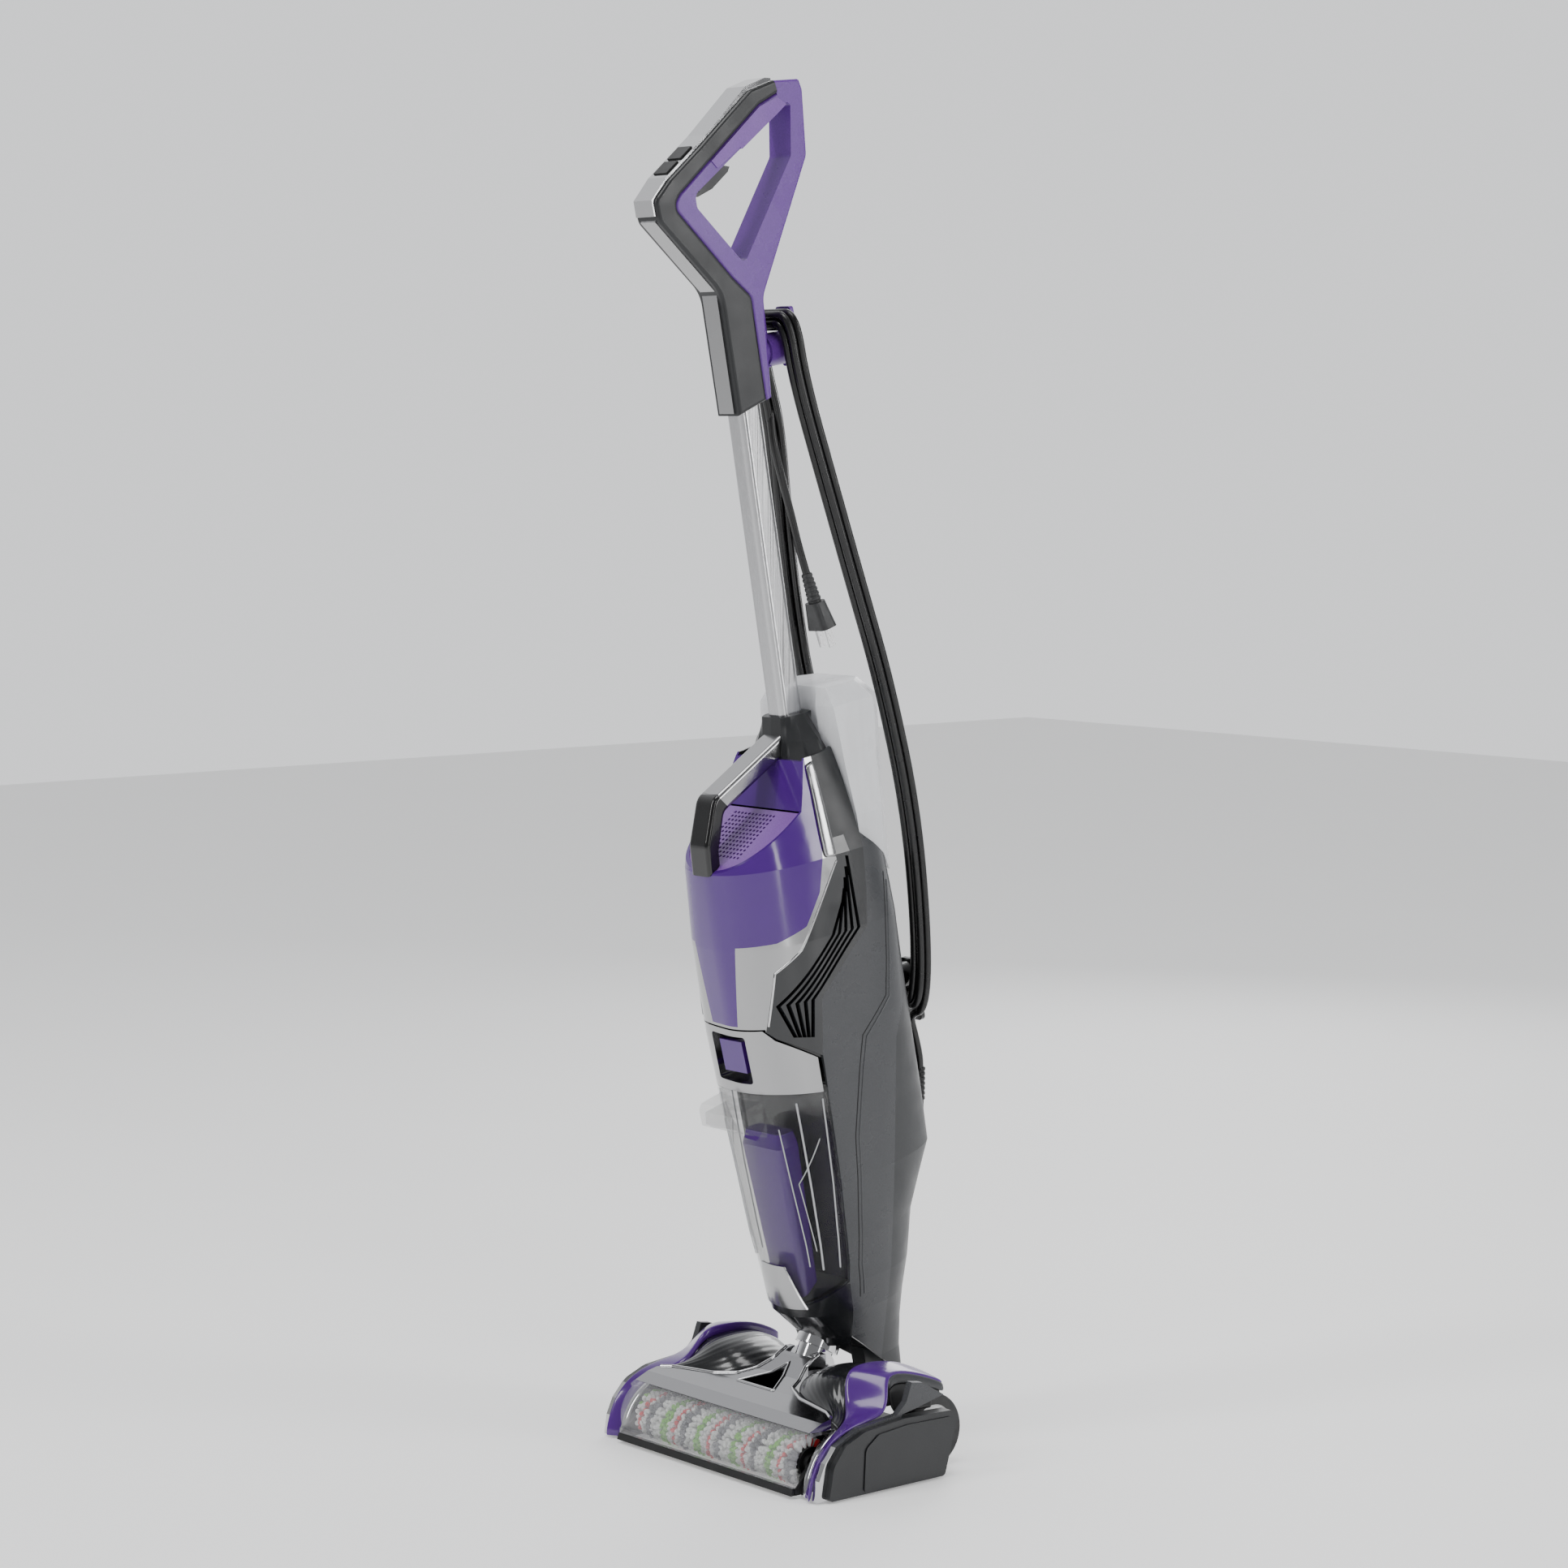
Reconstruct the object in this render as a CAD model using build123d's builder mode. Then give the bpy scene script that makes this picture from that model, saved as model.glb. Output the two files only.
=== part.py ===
from build123d import *
from math import atan2, cos, degrees, pi, radians, sin, tan
import os

# Upright floor and carpet cleaner, parked, with its power cord wound on its two hooks.
#
# Millimetres, +Z up. The front is -Y and the machine is symmetrical about X = 0.
# The foot is drawn in its own planes, y measured back from its front edge. The upright leans forward,
# so it is drawn in planes of its own axis: x across, v to the rear and w up along the tube.

os.makedirs("parts", exist_ok=True)

# ---------------------------------------------------------------- driving dimensions
foot_front = -95.0          # y of the foot's front edge
foot_width = 300.0
wheel_radius = 32.0
wheel_y = 155.0             # wheel axle behind the foot's front edge
axle_radius = 4.0

brush_y = 31.0              # brush axis
brush_z = 24.0
brush_radius = 22.5
core_radius = 13.0
brush_length = 224.0

lean = 10.0                 # forward lean of the parked upright, degrees
axis_y = 110.0              # where the tube's axis meets the floor
hinge_y = 120.0             # recline hinge, behind the foot's front edge
hinge_z = 72.0
neck_tilt = 28.0            # backward tilt of the neck, degrees
neck_radius = 17.0

skin = 3.0                  # wall of the upright's shells
seam = 0.3                  # gap between pieces of different bodies
fit = 0.05                  # radial running clearance of pins and shafts

tube_across = 22.0
tube_deep = 24.0
tube_wall = 1.5
tube_bottom = 618.0
tube_top = 940.0

cord_diameter = 7.0
hank_radius = 9.5           # outer radius of the bundle of turns

half_foot = foot_width / 2
side_panel_thickness = 13.0
frame_outer = half_foot - side_panel_thickness
window_half = 117.0


# ---------------------------------------------------------------- planes
def foot_level(z):
    """Level plane of the foot, local y from the front edge."""
    return Plane(origin=(0, foot_front, z))


def foot_side(x):
    """Upright plane across X, local (y from the front edge, z)."""
    return Plane(origin=(x, foot_front, 0), x_dir=(0, 1, 0), z_dir=(1, 0, 0))


lean_sin, lean_cos = sin(radians(lean)), cos(radians(lean))


def at(x, v, w):
    """A point of the upright's frame."""
    return Vector(x, axis_y + v * lean_cos - w * lean_sin, v * lean_sin + w * lean_cos)


def level(w):
    """Plane across the upright at height w, local (x, v)."""
    return Plane(origin=at(0, 0, w), x_dir=(1, 0, 0), z_dir=(0, -lean_sin, lean_cos))


def side(x):
    """Plane along the upright, local (v, w)."""
    return Plane(origin=at(x, 0, 0), x_dir=(0, lean_cos, lean_sin), z_dir=(1, 0, 0))


def facing(v):
    """Plane facing the front of the upright, local (x, w)."""
    return Plane(origin=at(0, v, 0), x_dir=(1, 0, 0), z_dir=(0, -lean_cos, -lean_sin))


def rear_facing(v):
    """Plane facing the rear of the upright, local (-x, w)."""
    return Plane(origin=at(0, v, 0), x_dir=(-1, 0, 0), z_dir=(0, lean_cos, lean_sin))


def mirrored(points):
    """Both halves of an outline given for x > 0, from front to rear."""
    return points + [(-x, y) for x, y in reversed(points) if x > 0.01]


def body_outline(front, shoulder, cheek, widest, flank, corner, rear, inset=0.0):
    """Closed outline of the upright's body at one height, drawn in by an inset."""
    half = [(0, front), shoulder, cheek, widest, flank, corner, (0, rear)]
    middle = (front + rear) / 2
    reach = max(widest[0], (rear - front) / 2)
    shrink = 1 - inset / reach
    return mirrored([(x * shrink, middle + (v - middle) * shrink) for x, v in half])


# ---------------------------------------------------------------- skin of the upright
# height w, then front, shoulder, cheek, widest, flank, corner and rear of half the outline (x, v)
stations = [
    (62, -60, (15, -57), (25, -46), (30, -26), (31, -8), (27, 8), 9),
    (84, -62, (17, -59), (29, -47), (34, -27), (34, -6), (27, 9), 10),
    (112, -68, (21, -64), (37, -50), (43, -29), (41, -4), (28, 13), 14),
    (138, -90, (26, -83), (44, -62), (52, -34), (49, -6), (30, 18), 19),
    (165, -94, (29, -86), (50, -64), (57, -36), (54, -4), (31, 27), 28),
    (205, -98, (32, -90), (54, -66), (61, -38), (58, -2), (31, 38), 40),
    (257, -102, (34, -93), (58, -68), (64, -38), (61, 8), (28, 69), 72),
    (310, -106, (36, -97), (60, -69), (65, -36), (62, 16), (30, 67), 69),
    (390, -111, (38, -102), (62, -70), (66, -32), (62, 32), (32, 62), 64),
    (470, -113, (39, -103), (63, -68), (67, -24), (62, 38), (32, 57), 58),
    (535, -111, (38, -100), (61, -64), (66, -20), (61, 34), (32, 52), 53),
    (590, -100, (32, -88), (48, -58), (52, -22), (48, 18), (28, 34), 35),
    (630, -80, (24, -70), (36, -46), (40, -18), (36, 10), (22, 22), 23),
]


def body_loft(inset, lowest=0, highest=len(stations)):
    """Solid inside the skin, drawn in by an inset."""
    with BuildPart() as body:
        for w, *outline in stations[lowest:highest]:
            with BuildSketch(level(w)):
                with BuildLine():
                    Spline(*body_outline(*outline, inset=inset), periodic=True)
                make_face()
        loft(ruled=True)
    return body.part


def slab(points, half_width, plane=None):
    """Straight-sided block on both sides of the middle plane, from a side outline (v, w)."""
    with BuildPart() as block:
        with BuildSketch(plane or side(0)):
            with BuildLine():
                Polyline(*points, close=True)
            make_face()
        extrude(amount=half_width, both=True)
    return block.part


body_outer = body_loft(0)
body_inner = body_loft(skin)
body_skin = body_outer - body_inner
body_half = 90.0            # wider than any part of the upright

# seams of the skin, as side outlines (v, w)
collar_foot = (-15, 617)
silver_rear = [collar_foot, (-20, 531), (-68, 465), (-91, 449), (-100, 399)]
vent_front = [(-21, 549), (-20, 531), (-68, 465), (-91, 449), (-100, 399), (-94, 392)]
vent_rear = [(-61, 371), (-55, 419), (1, 468), (-7, 549)]
grey_front = [(10, 547), (6, 500), (1, 468), (-55, 419), (-61, 371), (-60, 339), (-56, 182), (-57, 167)]
rear_seam = [(46, 513), (40, 440), (36, 390), (21, 364), (1.5, 251), (-14.6, 153), (-17.4, 133), (-18, 80)]
skirt_bottom = [(-50, 112), (-18, 80), (12, 55)]


screw_places = [(x, w) for w in (440, 320, 190) for x in (-24, 24)]
screw_radius = 3.2
peg_half = 9.0
with BuildPart() as rear_shell:
    add(body_skin)
    add(slab(rear_seam + [(12, 55), (110, 55), (110, 498), (60, 498)], body_half), mode=Mode.INTERSECT)
    with BuildSketch(rear_facing(90)):
        with Locations(*screw_places):
            Circle(screw_radius)
    extrude(amount=-60, mode=Mode.SUBTRACT)
    add(slab([(-17, 84), (-16, 58), (0, 56), (3, 74)], peg_half))
rear_shell.part.label = "rear_shell"
export_step(rear_shell.part, "parts/rear_shell.step")

for name, direction in (("left", -1), ("right", 1)):
    with BuildPart() as side_shell:
        add(body_skin)
        add(slab(grey_front + skirt_bottom[:2] + rear_seam[-2::-1], body_half), mode=Mode.INTERSECT)
        split(bisect_by=Plane.YZ, keep=Keep.TOP if direction > 0 else Keep.BOTTOM)
    side_shell.part.label = f"side_shell_{name}"
    export_step(side_shell.part, f"parts/side_shell_{name}.step")

with BuildPart() as base_bowl:
    add(body_skin)
    add(slab([(-50, 104), (-50, 112), (-57, 167), (-110, 133), (-110, 104)], body_half), mode=Mode.INTERSECT)
    with BuildSketch(side(0)):
        with BuildLine():
            Polyline((-90, 104), (-90, 107.5), (-50, 107.5), (-50, 104), close=True)
        make_face()
    extrude(amount=60, both=True)
    add(body_outer, mode=Mode.INTERSECT)
    with BuildSketch(Plane(origin=(0, foot_front + hinge_y, hinge_z), x_dir=(1, 0, 0),
                           z_dir=(0, sin(radians(neck_tilt)), cos(radians(neck_tilt))))):
        Circle(neck_radius)
    extrude(amount=70, mode=Mode.SUBTRACT)
base_bowl.part.label = "base_bowl"
export_step(base_bowl.part, "parts/base_bowl.step")

with BuildPart() as upper_frame:
    add(body_skin)
    add(slab([(-15, 617), (-19, 549), (-7, 549), (1, 468), (6, 500), (10, 547), (12, 604), (12, 619)],
             body_half), mode=Mode.INTERSECT)
    bay = slab([(7, 604), (10, 604), (10, 547), (46, 513), (60, 498), (60, 494), (45, 509), (7, 545)],
               body_half)
    add(bay & body_inner)
upper_frame.part.label = "upper_frame"
export_step(upper_frame.part, "parts/upper_frame.step")

louvre_pitch = 6.8
louvre_gap = 3.2
louvre_count = 5
with BuildPart() as side_vents:
    add(body_skin)
    add(slab(vent_front + vent_rear, body_half), mode=Mode.INTERSECT)
    with BuildSketch(side(0)):
        for louvre in range(louvre_count):
            inward = 5 + louvre * louvre_pitch
            rear_edge = [(-64 - 0.5 * inward, 388 + 0.1 * inward), (-57 - inward, 420),
                         (-1 - inward, 469), (-6 - 0.35 * inward, 538 - 1.3 * inward)]
            front_edge = [(v - louvre_gap, w + 0.6) for v, w in reversed(rear_edge)]
            with BuildLine():
                Polyline(*rear_edge, *front_edge, close=True)
            make_face()
    extrude(amount=body_half, both=True, mode=Mode.SUBTRACT)
side_vents.part.label = "side_vents"
export_step(side_vents.part, "parts/side_vents.step")

tongue = [(-18, 404), (18, 404), (28, 476), (-28, 476)]
with BuildPart() as tongue_block:
    with BuildSketch(facing(-95)):
        with BuildLine():
            Polyline(*tongue, close=True)
        make_face()
    extrude(amount=30)

with BuildPart() as front_panel:
    add(body_skin)
    add(slab(silver_rear + [(-100, 401.5), (-140, 402.5), (-140, 472), (-86, 474), (-60, 483), (-42, 508),
                            (-31, 545), (-22, 617)], body_half), mode=Mode.INTERSECT)
    add(tongue_block.part, mode=Mode.SUBTRACT)
    add(side_vents.part, mode=Mode.SUBTRACT)
    add(upper_frame.part, mode=Mode.SUBTRACT)
front_panel.part.label = "front_panel"
export_step(front_panel.part, "parts/front_panel.step")

with BuildPart() as motor_cover:
    add(body_skin)
    add(slab([(-140, 472), (-86, 474), (-60, 483), (-42, 508), (-31, 545), (-22, 617), (-24, 614),
              (-41, 576), (-113, 535), (-140, 520)], body_half), mode=Mode.INTERSECT)
    add(body_skin & tongue_block.part)
    well = slab([(-41, 576), (-37.5, 574), (-20.5, 614), (-24, 614)], body_half)
    add(well & body_inner)
    with BuildSketch(level(578)):
        with Locations(*[(x, -37) for x in range(-30, 31, 6)]):
            Rectangle(2, 3)
    extrude(amount=30, dir=at(0, 17, 38) - at(0, 0, 0))
    add(body_outer, mode=Mode.INTERSECT)
motor_cover.part.label = "motor_cover"
export_step(motor_cover.part, "parts/motor_cover.step")


def tilted(v, w, slope):
    """Plane on the upright whose local y climbs to the rear by a slope in degrees."""
    angle = radians(lean + slope)
    return Plane(origin=at(0, v, w), x_dir=(1, 0, 0), z_dir=(0, -sin(angle), cos(angle)))


grille_slope = degrees(atan2(41, 72))
hole_pitch = 4.6
with BuildPart() as grille:
    add(slab([(-111, 535.4), (-42, 574.7), (-42, 571.2), (-109, 533)], body_half) & body_inner)
    with BuildSketch(tilted(-70, 559.5, grille_slope)):
        with GridLocations(hole_pitch, hole_pitch, 12, 12):
            Circle(1.4)
    extrude(amount=12, both=True, mode=Mode.SUBTRACT)
grille.part.label = "grille"
export_step(grille.part, "parts/grille.step")

# ---------------------------------------------------------------- collar, tube and carry handle
with BuildPart() as collar:
    for w, outline in ((608, [(0, -24), (24, -22), (41, -13), (44, 1), (40, 12), (0, 12)]),
                       (628, [(0, -19), (19, -18), (30, -10), (34, 4), (27, 12.6), (0, 15)]),
                       (648, [(0, -16.5), (12, -16), (17, -9), (18, 5), (15, 16), (0, 18)])):
        with BuildSketch(level(w)):
            with BuildLine():
                Polyline(*mirrored(outline), close=True)
            make_face()
    loft(ruled=True)
    with BuildSketch(level(tube_bottom)):
        RectangleRounded(tube_across, tube_deep, 6)
    extrude(amount=60, mode=Mode.SUBTRACT)
    add(body_skin, mode=Mode.SUBTRACT)
    add(bay, mode=Mode.SUBTRACT)
    add(motor_cover.part, mode=Mode.SUBTRACT)
collar.part.label = "collar"
export_step(collar.part, "parts/collar.step")

with BuildPart() as tube:
    with BuildSketch(level(tube_bottom)):
        RectangleRounded(tube_across, tube_deep, 6)
        RectangleRounded(tube_across - 2 * tube_wall, tube_deep - 2 * tube_wall, 4.5, mode=Mode.SUBTRACT)
    extrude(amount=tube_top - tube_bottom)
tube.part.label = "tube"
export_step(tube.part, "parts/tube.step")

carry_half = 12.5
arm_outer = [(-16, 634), (-98, 597), (-112.5, 560), (-113.5, 534)]
arm_inner = [(-100, 534), (-99, 553), (-88, 584), (-19, 615)]
with BuildPart() as carry_arm:
    with BuildSketch(side(0)):
        with BuildLine():
            outer_line = FilletPolyline(*arm_outer, radius=[14, 20])
            inner_line = FilletPolyline(*arm_inner, radius=[16, 10])
            Line(outer_line @ 1, inner_line @ 0)
            Line(inner_line @ 1, outer_line @ 0)
        make_face()
    extrude(amount=carry_half, both=True)
    fillet(carry_arm.faces().filter_by(Axis.X).edges().filter_by(lambda edge: edge.length > 12), 3.5)

grip_split = [(-130, 520), (-130, 606), (-99, 606), (-78, 580), (-78, 520)]
with BuildPart() as carry_handle:
    add(carry_arm.part)
    add(slab(grip_split, body_half), mode=Mode.SUBTRACT)
    add(collar.part, mode=Mode.SUBTRACT)
    add(body_skin, mode=Mode.SUBTRACT)
    add(motor_cover.part, mode=Mode.SUBTRACT)
carry_handle.part.label = "carry_handle"
export_step(carry_handle.part, "parts/carry_handle.step")

with BuildPart() as carry_grip:
    add(carry_arm.part)
    add(slab(grip_split, body_half), mode=Mode.INTERSECT)
    add(motor_cover.part, mode=Mode.SUBTRACT)
    add(grille.part, mode=Mode.SUBTRACT)
carry_grip.part.label = "carry_grip"
export_step(carry_grip.part, "parts/carry_grip.step")

# ---------------------------------------------------------------- dirty tank
tank_wall = 2.2
tank_inner = body_loft(tank_wall)
bulkhead = [(-55, 167.5), (-54, 182), (-58, 345), (-61.5, 369), (-93, 391.5), (-101, 402), (-108, 402),
            (-108, 405), (-99, 405), (-90, 394), (-58, 371.5), (-54.5, 345), (-50.5, 182), (-51.5, 167)]
with BuildPart() as tank_bulkhead:
    add(slab(bulkhead, body_half) & body_inner)
tank_bulkhead.part.label = "tank_bulkhead"
export_step(tank_bulkhead.part, "parts/tank_bulkhead.step")

tank_outline = [(-62, 339), (-57, 182), (-58, 167.5), (-110, 135), (-140, 150), (-140, 347)]
lip_half = 28.0
tank_hollow = tank_inner & slab([(-64.5, 340), (-59.5, 182), (-60.5, 170), (-84, 153), (-130, 150), (-140, 350)],
                                body_half)
with BuildPart() as dirty_tank:
    add(body_outer)
    add(slab(tank_outline, body_half), mode=Mode.INTERSECT)
    with BuildSketch(side(0)):
        with BuildLine():
            Polyline((-100, 339), (-126, 335), (-129, 330), (-128, 316), (-104, 306), close=True)
        make_face()
    extrude(amount=lip_half, both=True)
    add(tank_hollow, mode=Mode.SUBTRACT)
    with BuildSketch(side(0)):
        with BuildLine():
            Polyline((-100, 330), (-124, 327), (-125.5, 317), (-103, 300), close=True)
        make_face()
    extrude(amount=lip_half - 2, both=True, mode=Mode.SUBTRACT)
dirty_tank.part.label = "dirty_tank"
export_step(dirty_tank.part, "parts/dirty_tank.step")

recess_half = 23.0
recess_w = 374.0
recess_back = -86.5
lid_outline = [(-64.5, 340), (-66, 370.5), (-95.5, 391), (-102, 400.2), (-140, 400.6), (-140, 348)]
with BuildPart() as tank_lid:
    add(body_outer)
    add(slab(lid_outline, body_half), mode=Mode.INTERSECT)
    hollow = slab([(-67.5, 346), (-69, 368), (-96, 387), (-104, 397), (-130, 397), (-130, 354)], body_half)
    add(hollow & body_inner, mode=Mode.SUBTRACT)
    with BuildSketch(facing(recess_back)):
        with Locations((0, recess_w)):
            RectangleRounded(2 * recess_half, 42, 3)
    extrude(amount=50, mode=Mode.SUBTRACT)
    with BuildSketch(facing(recess_back + 2.5)):
        with Locations((0, recess_w)):
            Rectangle(2 * recess_half + 5, 47)
    extrude(amount=2.5)
    with BuildSketch(facing(recess_back)):
        with Locations((0, recess_w)):
            Rectangle(2 * recess_half + 5, 47)
            RectangleRounded(2 * recess_half, 42, 3, mode=Mode.SUBTRACT)
    extrude(amount=30)
    add(slab(lid_outline, body_half) & body_outer, mode=Mode.INTERSECT)
tank_lid.part.label = "tank_lid"
export_step(tank_lid.part, "parts/tank_lid.step")

# ---------------------------------------------------------------- handle
stem_half = 15.5
handle_outer = [(-17, 905), (-18.5, 1007), (-72, 1073), (-73.4, 1091), (-56, 1105.5), (-20.6, 1127), (40, 1166),
                (67, 1171)]
handle_middle = [(69, 1160), (48, 1153), (-47, 1092), (-55, 1083), (-4, 1018), (13, 1000), (14, 913)]
loop_outer = [(67, 1171), (95.5, 1169), (98, 1160), (93.3, 1105.6), (27, 998), (21, 915)]
loop_hole = [(10.7, 1027), (-31, 1079), (-31, 1090), (79, 1152), (82, 1149), (75.5, 1107.7)]
loop_hole_radii = [5, 7, 7, 2, 2, 6]
loop_half = 14.0
grip_slope = degrees(atan2(21.5, 35.4))
trigger_pin = (-22.0, 1092.5)
trigger_half = 5.5
pin_radius = 1.6


def profile(points, radii=None):
    """Closed side outline, with its corners rounded where radii are given."""
    with BuildSketch(side(0)) as outline:
        with BuildLine():
            if radii:
                FilletPolyline(*points, radius=radii, close=True)
            else:
                Polyline(*points, close=True)
        make_face()
    return outline.sketch


def banded(points, half_width, radii=None):
    """Block on both sides of the middle plane from a side outline."""
    return extrude(profile(points, radii), amount=half_width, both=True)


strip = banded([(-18.6, 907), (-19.9, 1007.4), (-73.0, 1073.4), (-71, 1075.5), (-16.8, 1008.5), (-15.2, 907)], 9.5)
bezel_profile = [(-74.8, 1078), (-75.2, 1091.4), (-57, 1107.6), (-21.2, 1129.2), (-10, 1136), (38, 1169.5),
                 (60, 1174), (66, 1173), (66, 1169), (41, 1162.5), (-19, 1124), (-54.5, 1102), (-70, 1090),
                 (-70.5, 1078)]
bezel = banded(bezel_profile, 12.0)
button_along = (12.5, 31.5)
button_length = 16.0
button_width = 17.0


def button_plane(along, depth=0.0):
    """Plane on the face of the handle, local y up along the buttons, at a depth below its surface."""
    angle = radians(grip_slope)
    v = -57 + along * cos(angle) + depth * sin(angle)
    w = 1107.6 + along * sin(angle) - depth * cos(angle)
    return tilted(v, w, grip_slope)


with BuildPart() as handle_shell:
    with BuildSketch(side(0)):
        with BuildLine():
            outer_line = FilletPolyline(*handle_outer, radius=[30, 12, 8, 10, 30, 12])
            middle_line = FilletPolyline(*handle_middle, radius=[12, 14, 9, 20, 10])
            Line(outer_line @ 1, middle_line @ 0)
            Line(middle_line @ 1, outer_line @ 0)
        make_face()
    extrude(amount=stem_half, both=True)
    fillet(handle_shell.faces().filter_by(Axis.X).edges().filter_by(lambda edge: edge.length > 17), 3)
    add(strip, mode=Mode.SUBTRACT)
    add(bezel, mode=Mode.SUBTRACT)
    with BuildSketch(level(900)):
        RectangleRounded(tube_across, tube_deep, 6)
    extrude(amount=tube_top - 900, mode=Mode.SUBTRACT)
    for along in button_along:
        with BuildSketch(button_plane(along, 2)):
            Rectangle(button_width + 0.6, button_length + 0.6)
        extrude(amount=-7, mode=Mode.SUBTRACT)
handle_shell.part.label = "handle_shell"
export_step(handle_shell.part, "parts/handle_shell.step")

with BuildPart() as handle_strip:
    add(strip)
handle_strip.part.label = "handle_strip"
export_step(handle_strip.part, "parts/handle_strip.step")

with BuildPart() as handle_bezel:
    add(bezel)
    for along in button_along:
        with BuildSketch(button_plane(along, -4)):
            Rectangle(button_width + 0.6, button_length + 0.6)
        extrude(amount=-12, mode=Mode.SUBTRACT)
handle_bezel.part.label = "handle_bezel"
export_step(handle_bezel.part, "parts/handle_bezel.step")

for name, along in (("lower", button_along[0]), ("upper", button_along[1])):
    with BuildPart() as mode_button:
        with BuildSketch(button_plane(along, -1.2)):
            Rectangle(button_width, button_length)
        extrude(amount=-6.5)
        chamfer(mode_button.faces().sort_by(Axis.Z)[-1].edges(), 0.6)
    mode_button.part.label = f"mode_button_{name}"
    export_step(mode_button.part, f"parts/mode_button_{name}.step")

hub_radius = 14.0
hub_w = 952.0
hook_face = 27.5
hook_pin_radius = 6.0
flange_v = 56.0
trigger_slot = [(-33, 1083), (6, 1094), (24, 1109), (22, 1122), (-12, 1113), (-34, 1099)]
with BuildPart() as handle_loop:
    with BuildSketch(side(0)):
        with BuildLine():
            middle_line = FilletPolyline(*handle_middle, radius=[12, 14, 9, 20, 10])
            rear_line = FilletPolyline(*loop_outer, radius=[2, 6, 14, 20])
            Line(middle_line @ 0, rear_line @ 0)
            Line(rear_line @ 1, middle_line @ 1)
        make_face()
    extrude(amount=loop_half, both=True)
    fillet(handle_loop.faces().filter_by(Axis.X).edges().filter_by(lambda edge: edge.length > 60), 2.5)
    add(banded(loop_hole, 40, loop_hole_radii), mode=Mode.SUBTRACT)
    add(banded(trigger_slot, trigger_half + 0.5), mode=Mode.SUBTRACT)
    with BuildSketch(side(0)):
        with Locations(trigger_pin):
            Circle(pin_radius + fit)
    extrude(amount=10, both=True, mode=Mode.SUBTRACT)
    with BuildSketch(facing(16)):
        with Locations((0, hub_w)):
            Circle(hub_radius - 2)
    extrude(amount=16 - hook_face + seam)
    with BuildSketch(facing(hook_face)):
        with Locations((0, hub_w)):
            Circle(hook_pin_radius + fit)
    extrude(amount=8.5, mode=Mode.SUBTRACT)
handle_loop.part.label = "handle_loop"
export_step(handle_loop.part, "parts/handle_loop.step")

with BuildPart() as trigger:
    add(banded([(-27.5, 1091), (-22, 1087), (-6, 1091.5), (13, 1103), (15.5, 1107), (10, 1108.5), (-8, 1102.5),
                (-23, 1097)], trigger_half))
    with BuildSketch(side(0)):
        with Locations(trigger_pin):
            Circle(pin_radius)
    extrude(amount=9.5, both=True)
trigger.part.label = "trigger"
export_step(trigger.part, "parts/trigger.step")

with BuildPart() as soft_grip:
    add(banded([(24, 1120), (68, 1144.6), (77, 1150), (68, 1157), (48, 1151.5), (-10, 1114.5), (-5, 1108),
                (22, 1121.5)], loop_half + 1))
    add(handle_loop.part, mode=Mode.SUBTRACT)
    add(handle_shell.part, mode=Mode.SUBTRACT)
    add(banded(trigger_slot, trigger_half + 0.5), mode=Mode.SUBTRACT)
soft_grip.part.label = "soft_grip"
export_step(soft_grip.part, "parts/soft_grip.step")

# ---------------------------------------------------------------- cord hooks
with BuildPart() as upper_hook:
    with BuildSketch(facing(hook_face)):
        with Locations((0, hub_w)):
            Circle(hub_radius)
    extrude(amount=hook_face - flange_v)
    with BuildSketch(facing(hook_face)):
        with Locations((0, hub_w)):
            Circle(hook_pin_radius)
    extrude(amount=8)
    with BuildSketch(facing(flange_v)):
        with Locations((0, hub_w + 8)):
            RectangleRounded(19, 50, 3)
        with Locations((0, hub_w + 21)):
            RectangleRounded(11, 17, 2, mode=Mode.SUBTRACT)
    extrude(amount=-4)
    with BuildSketch(facing(hook_face)):
        with Locations((0, hub_w + 11)):
            RectangleRounded(14, 50, 2)
    extrude(amount=-3)
upper_hook.part.label = "upper_hook"
export_step(upper_hook.part, "parts/upper_hook.step")

post_w = 392.0
post_radius = 12.0
with BuildPart() as lower_hook:
    with BuildSketch(facing(58)):
        with Locations((0, post_w)):
            Circle(post_radius)
    extrude(amount=-40)
    with BuildSketch(facing(98)):
        with Locations((0, post_w - 14)):
            RectangleRounded(20, 56, 4)
    extrude(amount=-4)
    with BuildSketch(facing(60)):
        with Locations((0, post_w + 2)):
            RectangleRounded(34, 36, 4)
    extrude(amount=-8)
    add(body_outer, mode=Mode.SUBTRACT)
lower_hook.part.label = "lower_hook"
export_step(lower_hook.part, "parts/lower_hook.step")

# ---------------------------------------------------------------- power cord
cord_radius = cord_diameter / 2
loop_x = hub_radius + hank_radius + 0.5
loop_top = hub_w + loop_x
loop_bottom = post_w - post_radius - hank_radius - 0.8
gland_exit = (9, 84, 286)
hank_v = 42.5
hank_right = [(0, hank_v, loop_top), (loop_x, hank_v, loop_top), (loop_x, 44, 925), (24, 61, 831), (23, 94, 657),
              (25, 104, 538), (loop_x, 97, 420), (loop_x, 84, loop_bottom), (0, 84, loop_bottom)]
hank_left = [(0, hank_v, loop_top), (-loop_x, hank_v, loop_top), (-loop_x - 0.5, 46, 928), (-30, 56, 885),
             (-49, 66, 800), (-64, 76, 735), (-68, 81, 650), (-60, 93, 560), (-37, 99, 470), (-loop_x, 95, 420),
             (-loop_x, 84, loop_bottom), (0, 84, loop_bottom)]
lead_route = [gland_exit, (9.5, 90, 311), (10, 88, 336), (10, 84, loop_bottom - hank_radius)]
tail_route = [(-27, 51, 902), (-24, 46, 872), (-25, 51, 840), (-32, 62, 806), (-40.5, 72.4, 775.5),
              (-39.5, 77, 748)]


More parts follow.
